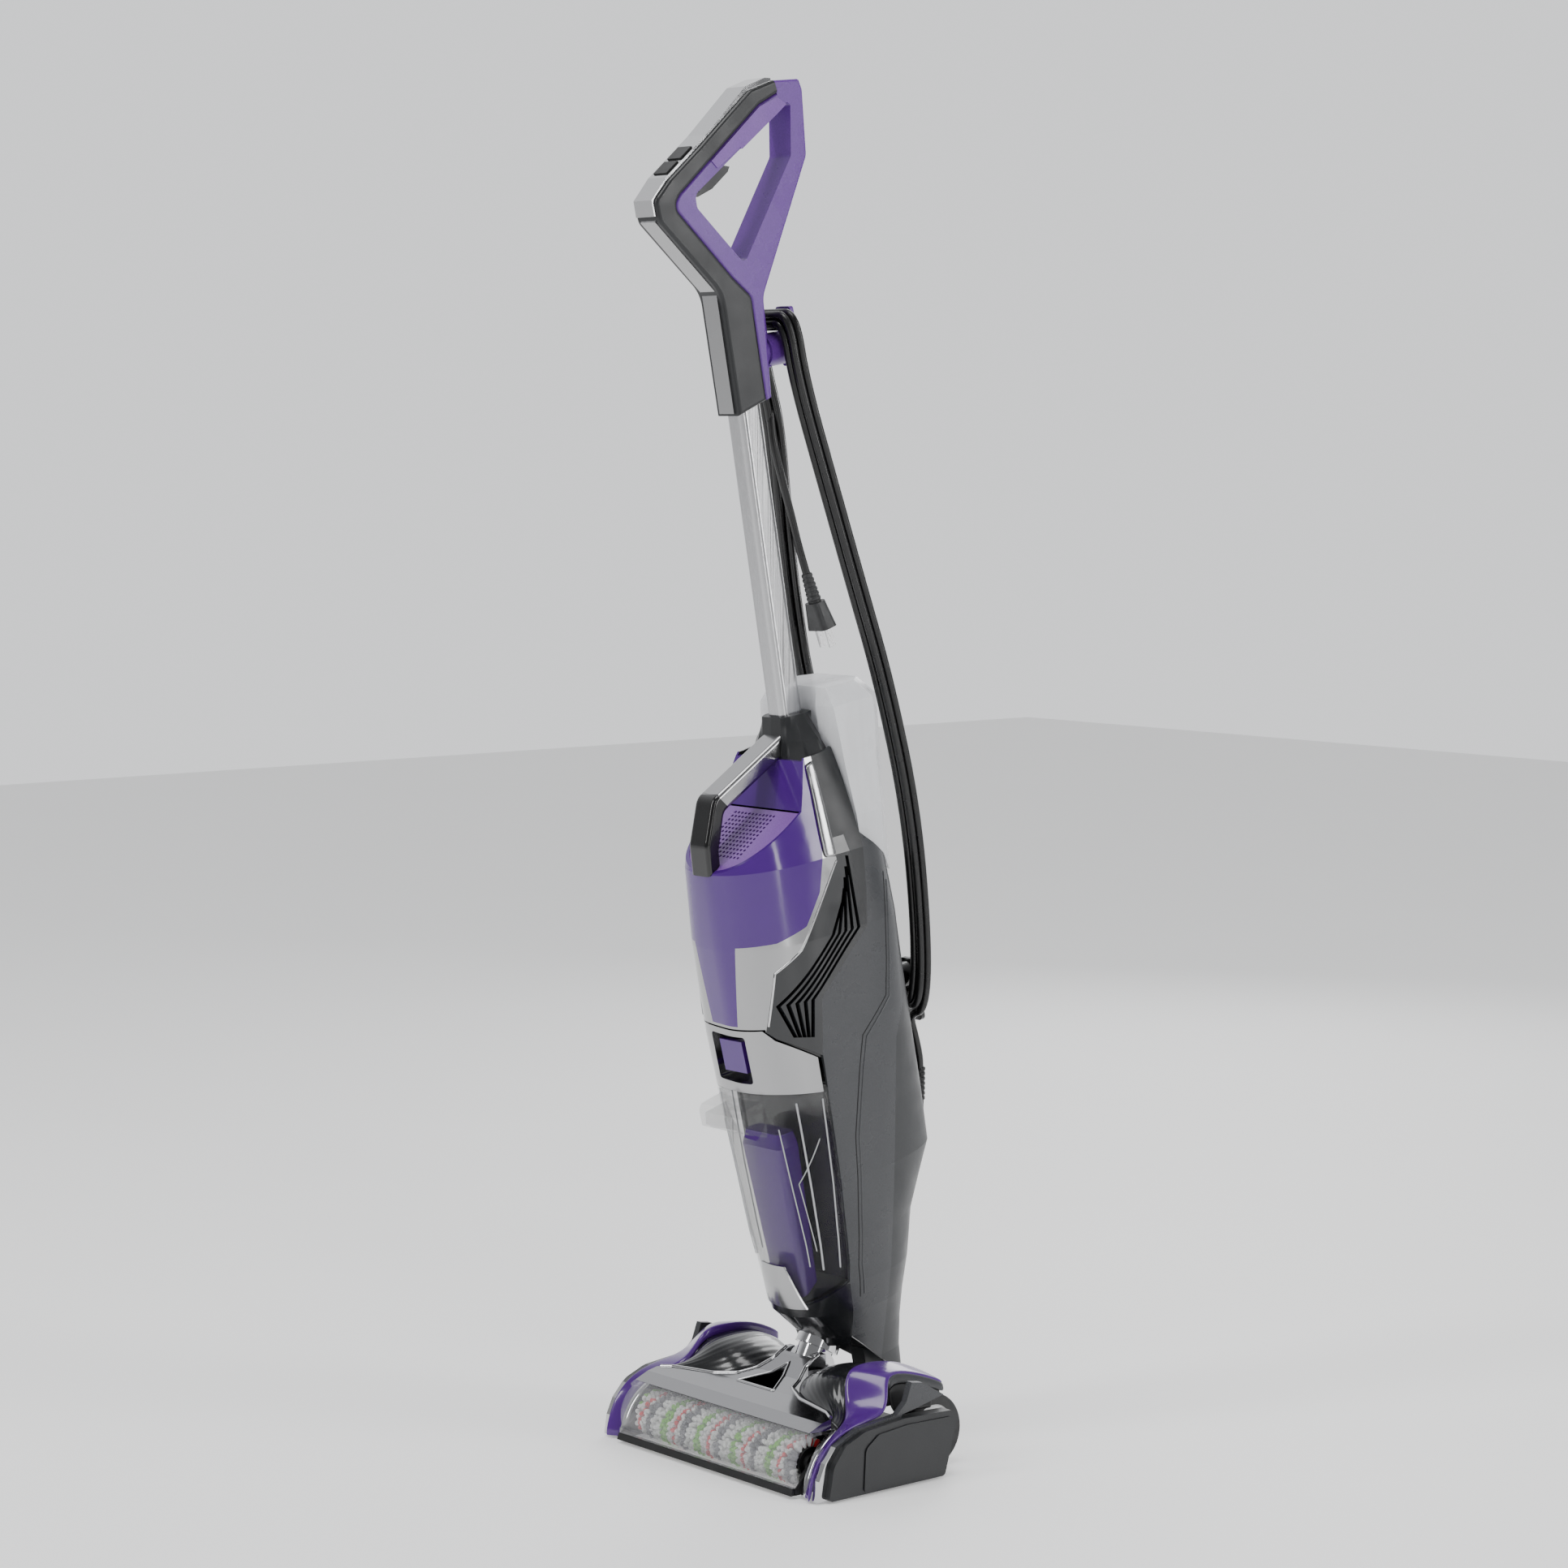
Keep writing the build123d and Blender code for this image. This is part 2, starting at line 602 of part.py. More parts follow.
def corner_radii(route, share=0.45):
    """Radius at each corner of a route, as large as its two runs allow."""
    points = [at(*point) for point in route]
    radii = []
    for before, corner, after in zip(points, points[1:], points[2:]):
        half_turn = radians((corner - before).get_angle(after - corner)) / 2
        radii.append(share * min((corner - before).length, (after - corner).length) / tan(half_turn))
    return radii


def cord_tube(route, radius, radii=None):
    """Tube along straight runs joined by tangent arcs, and the length of its line."""
    points = [at(*point) for point in route]
    with BuildLine() as line:
        FilletPolyline(*points, radius=radii or corner_radii(route))
    path = line.wires()[0]
    with BuildPart() as cord:
        with BuildSketch(Plane(origin=path @ 0, z_dir=path % 0)):
            Circle(radius)
        sweep(path=path)
    return cord.part, path.length


hank_halves = []
for route in (hank_right, hank_left):
    radii = corner_radii(route)
    radii[0] = min(radii[0], loop_x - 1.0)
    hank_halves.append(cord_tube(route, hank_radius, radii))

with BuildPart() as cord_hank:
    for half, length in hank_halves:
        add(half)
cord_hank.part.label = "cord_hank"
export_step(cord_hank.part, "parts/cord_hank.step")

for name, route in (("cord_lead", lead_route), ("cord_tail", tail_route)):
    tube_part, tube_length = cord_tube(route, cord_radius)
    with BuildPart() as cord:
        add(tube_part)
        add(cord_hank.part, mode=Mode.SUBTRACT)
    cord.part.label = name
    export_step(cord.part, f"parts/{name}.step")
    print(name, "radii", [round(radius) for radius in corner_radii(route)], "length", round(tube_length),
          "volume", round(tube_part.volume), "section x length", round(pi * cord_radius ** 2 * tube_length))
loop_length = sum(length for half, length in hank_halves)
print("hank loop", round(loop_length), "volume", round(cord_hank.part.volume),
      "section x length", round(pi * hank_radius ** 2 * loop_length))

with BuildPart() as cord_gland:
    gland_direction = at(0.5, 6, 25) - at(0, 0, 0)
    gland_start = at(*gland_exit) - gland_direction.normalized() * 34
    with BuildSketch(Plane(origin=gland_start, z_dir=gland_direction)):
        Circle(6)
    with BuildSketch(Plane(origin=at(*gland_exit), z_dir=gland_direction)):
        Circle(4.2)
    loft()
    add(body_outer, mode=Mode.SUBTRACT)
cord_gland.part.label = "cord_gland"
export_step(cord_gland.part, "parts/cord_gland.step")

plug_top = tail_route[-1]
plug_axis = (at(*plug_top) - at(*tail_route[-2])).normalized()
with BuildPart() as plug_body:
    for distance, width, depth, corner in ((0, 8.5, 8.5, 4), (22, 11, 10, 4)):
        with BuildSketch(Plane(origin=at(*plug_top) + plug_axis * distance, x_dir=(1, 0, 0), z_dir=plug_axis)):
            RectangleRounded(width, depth, corner)
    loft()
    for distance, width, depth, corner in ((22, 17, 14, 5), (46, 25, 17, 5)):
        with BuildSketch(Plane(origin=at(*plug_top) + plug_axis * distance, x_dir=(1, 0, 0), z_dir=plug_axis)):
            RectangleRounded(width, depth, corner)
    loft()
plug_body.part.label = "plug_body"
export_step(plug_body.part, "parts/plug_body.step")

with BuildPart() as plug_blades:
    with BuildSketch(Plane(origin=at(*plug_top) + plug_axis * 46, x_dir=(1, 0, 0), z_dir=plug_axis)):
        with Locations((-6.35, 0), (6.35, 0)):
            Rectangle(1.6, 7)
    extrude(amount=17)
plug_blades.part.label = "plug_blades"
export_step(plug_blades.part, "parts/plug_blades.step")

# ---------------------------------------------------------------- clean tank
clean_wall = 2.0
channel_v = 19.0            # the tank's front is hollowed round the tube's collar
channel_half = 21.0
tank_sections = [
    # height, front v, half width, flat half of the rear, corner v, rear v
    (470, 13.3, 60, 40, 30, 56),
    (520, 13.3, 61, 40, 36, 60),
    (560, 13.3, 60, 38, 42, 63),
    (600, 13.3, 54, 38, 48, 66.5),
    (640, 13.3, 50, 37, 56, 70.5),
    (653, 13.3, 48, 35, 58, 71.5),
]
roof_sections = [(653, 13.3, 48, 35, 58, 71.5), (668, 17, 36, 25, 50, 62)]


def tank_solid(inset):
    """Faceted tank, drawn in by a wall."""
    with BuildPart() as block:
        for group in (tank_sections, roof_sections):
            for w, front, half, rear_half, corner, rear in group:
                top = w - inset if w > 660 else w
                with BuildSketch(level(top)):
                    with BuildLine():
                        Polyline(*mirrored([(0, channel_v + inset), (channel_half + inset, channel_v + inset),
                                            (channel_half + inset + 4, front + inset), (half - inset, front + inset),
                                            (half - inset, corner), (rear_half - inset * 0.5, rear - inset),
                                            (0, rear - inset)]), close=True)
                    make_face()
            loft(ruled=True)
    return block.part


below_seat = [(0, 548.5), (10, 547.4), (46.3, 513.4), (60.5, 498.4), (90, 470), (90, 400), (0, 400)]
above_seat = [(v, w + clean_wall * 1.4) for v, w in below_seat]
clean_cavity = tank_solid(clean_wall) - slab(above_seat, body_half)
with BuildPart() as clean_tank:
    add(tank_solid(0))
    add(slab(below_seat, body_half), mode=Mode.SUBTRACT)
    add(clean_cavity, mode=Mode.SUBTRACT)
    with BuildSketch(tilted(31, 528, -43)):
        Circle(13)
    extrude(amount=8, both=True, mode=Mode.SUBTRACT)
clean_tank.part.label = "clean_tank"
export_step(clean_tank.part, "parts/clean_tank.step")

with BuildPart() as clean_tank_cap:
    with BuildSketch(tilted(31, 528, -43)):
        Circle(12.9)
    extrude(amount=4)
    with BuildSketch(tilted(31, 528, -43)):
        Circle(5)
    extrude(amount=10)
clean_tank_cap.part.label = "clean_tank_cap"
export_step(clean_tank_cap.part, "parts/clean_tank_cap.step")

# ---------------------------------------------------------------- pieces inside the upright
with BuildPart() as release_button:
    add(slab([(-105, 361), (-107, 389), (-103, 389), (-100, 366), (recess_back - seam, 366),
              (recess_back - seam, 361)], 14.5))
release_button.part.label = "release_button"
export_step(release_button.part, "parts/release_button.step")

with BuildPart() as tank_duct:
    for w, front, half, rear in ((150, -82, 21, -64), (290, -92, 26, -68), (302, -88, 24, -70)):
        with BuildSketch(level(w)):
            with Locations((0, (front + rear) / 2)):
                RectangleRounded(2 * half, rear - front, 5)
    loft(ruled=True)
    add(tank_hollow, mode=Mode.INTERSECT)
tank_duct.part.label = "tank_duct"
export_step(tank_duct.part, "parts/tank_duct.step")

with BuildPart() as badge_plate:
    add(body_loft(-1.6))
    add(body_outer, mode=Mode.SUBTRACT)
    with BuildSketch(facing(-60)):
        with BuildLine():
            Polyline((-15, 186), (15, 186), (26, 146), (-26, 146), close=True)
        make_face()
    extrude(amount=60, mode=Mode.INTERSECT)
badge_plate.part.label = "badge_plate"
export_step(badge_plate.part, "parts/badge_plate.step")

motor_w = 430.0
motor_radius = 42.0
motor_v = -28.0
shaft_radius = 4.0
with BuildPart() as suction_motor:
    with BuildSketch(level(motor_w)):
        with Locations((0, motor_v)):
            Circle(motor_radius)
    extrude(amount=62)
    with BuildSketch(level(motor_w + 62)):
        with Locations((0, motor_v)):
            Circle(motor_radius)
            Circle(motor_radius - 4, mode=Mode.SUBTRACT)
    extrude(amount=18)
    with BuildSketch(level(motor_w + 40)):
        with Locations((0, motor_v)):
            Circle(shaft_radius + fit)
    extrude(amount=60, mode=Mode.SUBTRACT)
    add(slab([(-62, motor_w - 4), (40, motor_w - 4), (40, motor_w), (-62, motor_w)], body_half) & body_inner)
suction_motor.part.label = "suction_motor"
export_step(suction_motor.part, "parts/suction_motor.step")

with BuildPart() as suction_fan:
    with BuildSketch(level(motor_w + 64)):
        with Locations((0, motor_v)):
            Circle(motor_radius - 6)
    extrude(amount=2)
    with BuildSketch(level(motor_w + 66)):
        with Locations((0, motor_v)):
            with PolarLocations(21, 9):
                Rectangle(26, 1.6, rotation=25)
    extrude(amount=9)
    with BuildSketch(level(motor_w + 42)):
        with Locations((0, motor_v)):
            Circle(shaft_radius)
    extrude(amount=34)
suction_fan.part.label = "suction_fan"
export_step(suction_fan.part, "parts/suction_fan.step")

with BuildPart() as water_pump:
    with BuildSketch(level(motor_w - 4)):
        with Locations((0, 36)):
            RectangleRounded(46, 34, 4)
    extrude(amount=-40)
    with BuildSketch(level(motor_w - 44)):
        with Locations((0, 36)):
            Circle(6)
    extrude(amount=-14)
water_pump.part.label = "water_pump"
export_step(water_pump.part, "parts/water_pump.step")

with BuildPart() as case_screws:
    with BuildSketch(rear_facing(90)):
        with Locations(*screw_places):
            Circle(screw_radius)
    extrude(amount=-60)
    add(body_loft(1.2), mode=Mode.INTERSECT)
    add(body_loft(skin + 3), mode=Mode.SUBTRACT)
case_screws.part.label = "case_screws"
export_step(case_screws.part, "parts/case_screws.step")

# ---------------------------------------------------------------- neck
barrel_radius = 14.0
barrel_half = 17.0
hinge_pin_radius = 5.0
cheek_gap = 0.4
spigot_radius = 12.0
ring_start = 16.0
neck_sin, neck_cos = sin(radians(neck_tilt)), cos(radians(neck_tilt))
neck_direction = (0, neck_sin, neck_cos)


def neck_level(distance):
    """Plane across the neck at a distance from the recline hinge."""
    origin = (0, foot_front + hinge_y + distance * neck_sin, hinge_z + distance * neck_cos)
    return Plane(origin=origin, x_dir=(1, 0, 0), z_dir=neck_direction)


with BuildPart() as neck_yoke:
    with BuildSketch(foot_side(0)):
        with Locations((hinge_y, hinge_z)):
            Circle(barrel_radius)
    extrude(amount=barrel_half, both=True)
    with BuildSketch(foot_side(0)):
        with Locations((hinge_y, hinge_z)):
            Circle(hinge_pin_radius)
    extrude(amount=barrel_half + cheek_gap + 6, both=True)
    with BuildSketch(neck_level(0)):
        Circle(15.5)
    extrude(amount=ring_start - seam)
    with BuildSketch(neck_level(0)):
        Circle(spigot_radius)
    extrude(amount=34)
    with BuildSketch(neck_level(-5)):
        Circle(8)
    extrude(amount=60, mode=Mode.SUBTRACT)
neck_yoke.part.label = "neck_yoke"
export_step(neck_yoke.part, "parts/neck_yoke.step")

with BuildPart() as swivel_neck:
    with BuildSketch(neck_level(ring_start)):
        Circle(19.5)
    extrude(amount=9, taper=4)
    with BuildSketch(neck_level(ring_start + 9)):
        Circle(neck_radius)
    extrude(amount=29)
    with BuildSketch(neck_level(ring_start - 1)):
        Circle(spigot_radius + fit)
    extrude(amount=60, mode=Mode.SUBTRACT)
    add(base_bowl.part, mode=Mode.SUBTRACT)
swivel_neck.part.label = "swivel_neck"
export_step(swivel_neck.part, "parts/swivel_neck.step")

# ---------------------------------------------------------------- foot
chamber_radius = brush_radius + 2.5
brush_pin_radius = 3.0
brush_pulley_radius = 9.0
drive_y = 92.0
drive_z = 26.0
frame_inner = 118.5
base_rear = 140.0
window_inner = chamber_radius
window_outer = chamber_radius + 2.2


def foot_block(points, x_from, x_to, radii=None):
    """Block across the foot between two x values, from a side outline (y, z)."""
    with BuildPart() as block:
        with BuildSketch(foot_side(x_from)):
            with BuildLine():
                if radii:
                    FilletPolyline(*points, radius=radii, close=True)
                else:
                    Polyline(*points, close=True)
            make_face()
        extrude(amount=x_to - x_from)
    return block.part


def both_ends(points, x_from, x_to, radii=None):
    """The same block at both ends of the foot."""
    return foot_block(points, x_from, x_to, radii) + foot_block(points, -x_to, -x_from, radii)


def round_bar(y, z, radius, x_from, x_to):
    """Round bar across the foot."""
    with BuildPart() as bar:
        with BuildSketch(foot_side(x_from)):
            with Locations((y, z)):
                Circle(radius)
        extrude(amount=x_to - x_from)
    return bar.part


with BuildPart() as foot_base:
    add(foot_block([(4, 3), (8, 3), (60, 3), (base_rear, 5), (base_rear, 42), (104, 46), (64, 49), (40, 50),
                    (40, 44), (4, 8)], -frame_inner + 0.3, frame_inner - 0.3))
    add(round_bar(brush_y, brush_z, chamber_radius - 0.3, -frame_inner + 5, frame_inner - 5), mode=Mode.SUBTRACT)
    add(foot_block([(0, -5), (9, -5), (9, 2), (52, 2), (52, -5), (40, 8), (12, 8), (12, 20), (0, 20)],
                   -window_half, window_half), mode=Mode.SUBTRACT)
    add(foot_block([(62, 8), (base_rear - 4, 9), (base_rear - 4, 38), (62, 44)], -111, 111), mode=Mode.SUBTRACT)
    add(foot_block([(0, 3), (7, 3), (7, 8.5), (2, 8.5)], -window_half - 0.5, window_half + 0.5))
    add(round_bar(wheel_y, wheel_radius, wheel_radius + 3, 104, 125), mode=Mode.SUBTRACT)
    add(round_bar(wheel_y, wheel_radius, wheel_radius + 3, -125, -104), mode=Mode.SUBTRACT)
    add(both_ends([(base_rear - 4, 14), (base_rear - 4, 44), (165, 42), (168, 36), (165, 26)], 88, 101))
    add(round_bar(wheel_y, wheel_radius, axle_radius, 95, 123))
    add(round_bar(wheel_y, wheel_radius, axle_radius, -123, -95))
    add(foot_block([(brush_y, 12), (drive_y + 8, 12), (drive_y + 8, 38), (brush_y, 38)], -113.2, -106.8),
        mode=Mode.SUBTRACT)
    add(round_bar(brush_y, brush_z, brush_pin_radius, 106, 118))
    add(round_bar(brush_y, brush_z, brush_pin_radius, -118, -106))
    add(both_ends([(54, 0), (68, 0), (71, 6), (51, 6)], 92, 104))
foot_base.part.label = "foot_base"
export_step(foot_base.part, "parts/foot_base.step")

with BuildPart() as foot_frame:
    for x_from, x_to in ((frame_inner, frame_outer), (-frame_outer, -frame_inner)):
        with BuildSketch(foot_side(x_from)):
            with BuildLine():
                Spline((3, 2), (9, 26), (26, 48), (56, 58), (92, 62))
                Polyline((92, 62), (100, 71), (104, 89), (145, 85), (168, 75), (166, 69), (140, 70), (118, 66),
                         (102, 56))
                Spline((102, 56), (58, 52), (31, 42), (15, 23), (10, 2))
                Line((10, 2), (3, 2))
            make_face()
        extrude(amount=x_to - x_from)
    add(both_ends([(66, 88), (82, 94), (112, 93), (145, 87), (168, 76), (166, 70), (145, 79), (112, 85), (90, 84)],
                  84, frame_outer - 10))
foot_frame.part.label = "foot_frame"
export_step(foot_frame.part, "parts/foot_frame.step")

panel_outline = [(15, 2), (20, 30), (33, 46), (54, 54.5), (98, 58.5), (150, 57), (157.5, 52), (143, 2)]
side_panels = []
for name, direction in (("left", -1), ("right", 1)):
    with BuildPart() as side_panel:
        with BuildSketch(foot_side(direction * (half_foot - 1.2))):
            with BuildLine():
                FilletPolyline(*panel_outline, radius=[3, 16, 16, 20, 10, 6, 4, 4], close=True)
            make_face()
        extrude(amount=-direction * (side_panel_thickness - 1.2))
        with BuildSketch(foot_side(direction * half_foot)):
            with BuildLine():
                FilletPolyline((52, 4), (54, 40), (68, 50), (100, 53), (148, 52), (152, 48), (140, 5),
                               radius=[3, 8, 8, 8, 4, 3, 3], close=True)
            make_face()
        extrude(amount=-direction * 4)
    side_panel.part.label = f"side_panel_{name}"
    export_step(side_panel.part, f"parts/side_panel_{name}.step")
    side_panels.append(side_panel.part)

with BuildPart() as side_trims:
    add(both_ends([(6, 2), (8.5, 19), (15, 33), (26, 45), (52, 56.5), (94, 61), (104, 70), (110, 86), (122, 84),
                   (146, 70), (114, 63), (99, 60.5), (98, 50), (54, 46), (24, 24), (20, 2)],
                  frame_outer + 0.2, frame_outer + 6.5))
    for panel in side_panels:
        add(panel, mode=Mode.SUBTRACT)
side_trims.part.label = "side_trims"
export_step(side_trims.part, "parts/side_trims.step")

with BuildPart() as brush_window:
    with BuildSketch(foot_side(-window_half)):
        with Locations((brush_y, brush_z)):
            Circle(window_outer)
            Circle(window_inner, mode=Mode.SUBTRACT)
        with BuildLine():
            Polyline((2, 10), (2, 52), (34, 52), (brush_y + 3, brush_z), (14, 14), (9, 9), close=True)
        make_face(mode=Mode.INTERSECT)
    extrude(amount=2 * window_half)
    add(foot_block([(2.5, 8.8), (2.5, 13), (6.5, 14), (9, 8.8)], -window_half, window_half))
    add(foot_block([(16, 46.8), (15, 50.2), (19, 52.4), (24, 51.5), (24, 49)], -window_half, window_half))
brush_window.part.label = "brush_window"
export_step(brush_window.part, "parts/brush_window.step")

cover_outline = [(-window_half, 20), (window_half, 20), (window_half, 44), (104, 54), (60, 62), (38, 72), (24, 98),
                 (24, 118), (-24, 118), (-24, 98), (-38, 72), (-60, 62), (-104, 54), (-window_half, 44)]
with BuildPart() as suction_duct:
    with BuildSketch(foot_level(44)):
        with BuildLine():
            Polyline(*cover_outline, close=True)
        make_face()
    extrude(amount=50)
    add(foot_block([(20, 52.7), (34, 58.5), (60, 64), (84, 70), (104, 82), (112, 86), (122, 87), (134, 84),
                    (134, 47), (100, 47), (62, 50), (40, 51.5), (26, 51.8)], -150, 150), mode=Mode.INTERSECT)
    with BuildSketch(foot_level(40)):
        with BuildLine():
            Polyline((-24, 60), (24, 60), (0, 96), close=True)
        make_face()
        offset(amount=-1.5)
    extrude(amount=60, mode=Mode.SUBTRACT)
    add(round_bar(hinge_y, hinge_z, barrel_radius + 1.0, -barrel_half - cheek_gap, barrel_half + cheek_gap),
        mode=Mode.SUBTRACT)
    add(foot_block([(hinge_y - 16, hinge_z + 4), (hinge_y - 6, 100), (150, 100), (150, 40), (hinge_y - 5, 40),
                    (hinge_y - 5, hinge_z - 13)], -barrel_half - cheek_gap, barrel_half + cheek_gap),
        mode=Mode.SUBTRACT)
    add(round_bar(hinge_y, hinge_z, hinge_pin_radius + fit, -40, 40), mode=Mode.SUBTRACT)
suction_duct.part.label = "suction_duct"
export_step(suction_duct.part, "parts/suction_duct.step")

with BuildPart() as dome_covers:
    for direction in (-1, 1):
        for x, outline in ((30, [(70, 50), (96, 60), (118, 62), (136, 60), (136, 48), (70, 48)]),
                           (60, [(66, 54), (90, 74), (118, 77), (138, 74), (138, 48), (66, 48)]),
                           (98, [(70, 62), (84, 87), (112, 86.5), (139, 82), (139, 48), (70, 48)])):
            with BuildSketch(foot_side(direction * x)):
                with BuildLine():
                    Polyline(*outline, close=True)
                make_face()
        loft(ruled=True)
    for part in (suction_duct.part, foot_frame.part, foot_base.part):
        add(part, mode=Mode.SUBTRACT)
dome_covers.part.label = "dome_covers"
export_step(dome_covers.part, "parts/dome_covers.step")

with BuildPart() as brush_core:
    add(round_bar(brush_y, brush_z, core_radius, -brush_length / 2 + 5, brush_length / 2 - 5))
    add(round_bar(brush_y, brush_z, brush_pulley_radius, -brush_length / 2, brush_length / 2))
    add(round_bar(brush_y, brush_z, brush_pin_radius + fit, 105, 120), mode=Mode.SUBTRACT)
    add(round_bar(brush_y, brush_z, brush_pin_radius + fit, -120, -105), mode=Mode.SUBTRACT)
brush_core.part.label = "brush_core"
export_step(brush_core.part, "parts/brush_core.step")

with BuildPart() as brush_pile:
    add(round_bar(brush_y, brush_z, brush_radius, -brush_length / 2 + 6, brush_length / 2 - 6))
    add(brush_core.part, mode=Mode.SUBTRACT)
brush_pile.part.label = "brush_pile"
export_step(brush_pile.part, "parts/brush_pile.step")

# ---------------------------------------------------------------- brush drive and wheels
motor_pulley_radius = 5.0
belt_thickness = 1.6
belt_from, belt_to = -112.0, -107.6
with BuildPart() as brush_motor:
    add(round_bar(drive_y, drive_z, 14, -96, -30))
    add(foot_block([(82, 6), (102, 6), (102, 16), (82, 16)], -90, -40))
    add(foot_base.part, mode=Mode.SUBTRACT)
    add(round_bar(drive_y, drive_z, 2.5 + fit, -97, -80), mode=Mode.SUBTRACT)
brush_motor.part.label = "brush_motor"
export_step(brush_motor.part, "parts/brush_motor.step")

with BuildPart() as motor_pulley:
    add(round_bar(drive_y, drive_z, motor_pulley_radius, belt_from, belt_to))
    add(round_bar(drive_y, drive_z, 2.5, belt_to, -82))
motor_pulley.part.label = "motor_pulley"
export_step(motor_pulley.part, "parts/motor_pulley.step")

with BuildPart() as drive_belt:
    for thickness, mode in ((fit + belt_thickness, Mode.ADD), (fit, Mode.SUBTRACT)):
        with BuildSketch(foot_side(belt_from)):
            with Locations((brush_y, brush_z)):
                Circle(brush_pulley_radius + thickness)
            with Locations((drive_y, drive_z)):
                Circle(motor_pulley_radius + thickness)
            make_hull()
        extrude(amount=belt_to - belt_from, mode=mode)
drive_belt.part.label = "drive_belt"
export_step(drive_belt.part, "parts/drive_belt.step")

wheel_width = 15.0
wheel_inner = 106.0
hub_outer = 23.0
for name, direction in (("left", -1), ("right", 1)):
    with BuildPart() as wheel:
        with BuildSketch(foot_side(direction * wheel_inner)):
            with Locations((wheel_y, wheel_radius)):
                Circle(wheel_radius)
                Circle(hub_outer, mode=Mode.SUBTRACT)
        extrude(amount=direction * wheel_width)
        fillet(wheel.edges().filter_by(GeomType.CIRCLE).sort_by(SortBy.RADIUS)[-2:], 3)
    wheel.part.label = f"tyre_{name}"
    export_step(wheel.part, f"parts/tyre_{name}.step")
    with BuildPart() as hub:
        with BuildSketch(foot_side(direction * (wheel_inner + 1))):
            with Locations((wheel_y, wheel_radius)):
                Circle(hub_outer)
                Circle(axle_radius + fit, mode=Mode.SUBTRACT)
        extrude(amount=direction * (wheel_width - 2.5))
    hub.part.label = f"wheel_hub_{name}"
    export_step(hub.part, f"parts/wheel_hub_{name}.step")
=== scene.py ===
import random
from math import cos, pi, radians, sin

import bpy
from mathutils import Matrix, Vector
from mathutils.bvhtree import BVHTree


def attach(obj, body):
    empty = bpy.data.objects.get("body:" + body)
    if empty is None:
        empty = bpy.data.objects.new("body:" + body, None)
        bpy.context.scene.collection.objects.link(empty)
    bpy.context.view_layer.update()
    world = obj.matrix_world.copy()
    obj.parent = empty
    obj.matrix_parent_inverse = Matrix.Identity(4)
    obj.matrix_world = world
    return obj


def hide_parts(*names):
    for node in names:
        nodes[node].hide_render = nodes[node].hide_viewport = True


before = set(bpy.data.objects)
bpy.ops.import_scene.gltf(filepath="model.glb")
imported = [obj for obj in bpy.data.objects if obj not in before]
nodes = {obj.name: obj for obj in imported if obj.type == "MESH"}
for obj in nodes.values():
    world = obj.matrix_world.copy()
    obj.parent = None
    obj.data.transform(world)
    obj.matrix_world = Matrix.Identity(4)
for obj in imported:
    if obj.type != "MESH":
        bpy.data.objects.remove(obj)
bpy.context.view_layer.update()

# ---------------------------------------------------------------- places on the leaning upright
LEAN = radians(10)
AXIS_Y = 0.110              # where the tube's axis meets the floor
FOOT_FRONT = -0.095         # the foot's front edge


def at(x, v, w):
    """Point of the upright: x across, v to the rear and w up along the tube, in millimetres."""
    v, w = v / 1000, w / 1000
    return Vector((x / 1000, AXIS_Y + v * cos(LEAN) - w * sin(LEAN), v * sin(LEAN) + w * cos(LEAN)))


def foot_at(x, y, z):
    """Point of the foot: y back from its front edge, in millimetres."""
    return Vector((x / 1000, FOOT_FRONT + y / 1000, z / 1000))


# ---------------------------------------------------------------- camera
CAMERA_PLACE = (2.4681, -2.0719, 0.8768)
CAMERA_DOWN, CAMERA_TURN = 5.30, 50.04      # degrees below level, and round from the front
LENS = 87.6

camera_data = bpy.data.cameras.new("camera")
camera_data.lens = LENS
camera_data.sensor_width = 36
camera_data.clip_end = 50
camera = bpy.data.objects.new("camera", camera_data)
camera.location = CAMERA_PLACE
camera.rotation_euler = (radians(90 - CAMERA_DOWN), 0, radians(CAMERA_TURN))
bpy.context.scene.collection.objects.link(camera)
bpy.context.scene.camera = camera


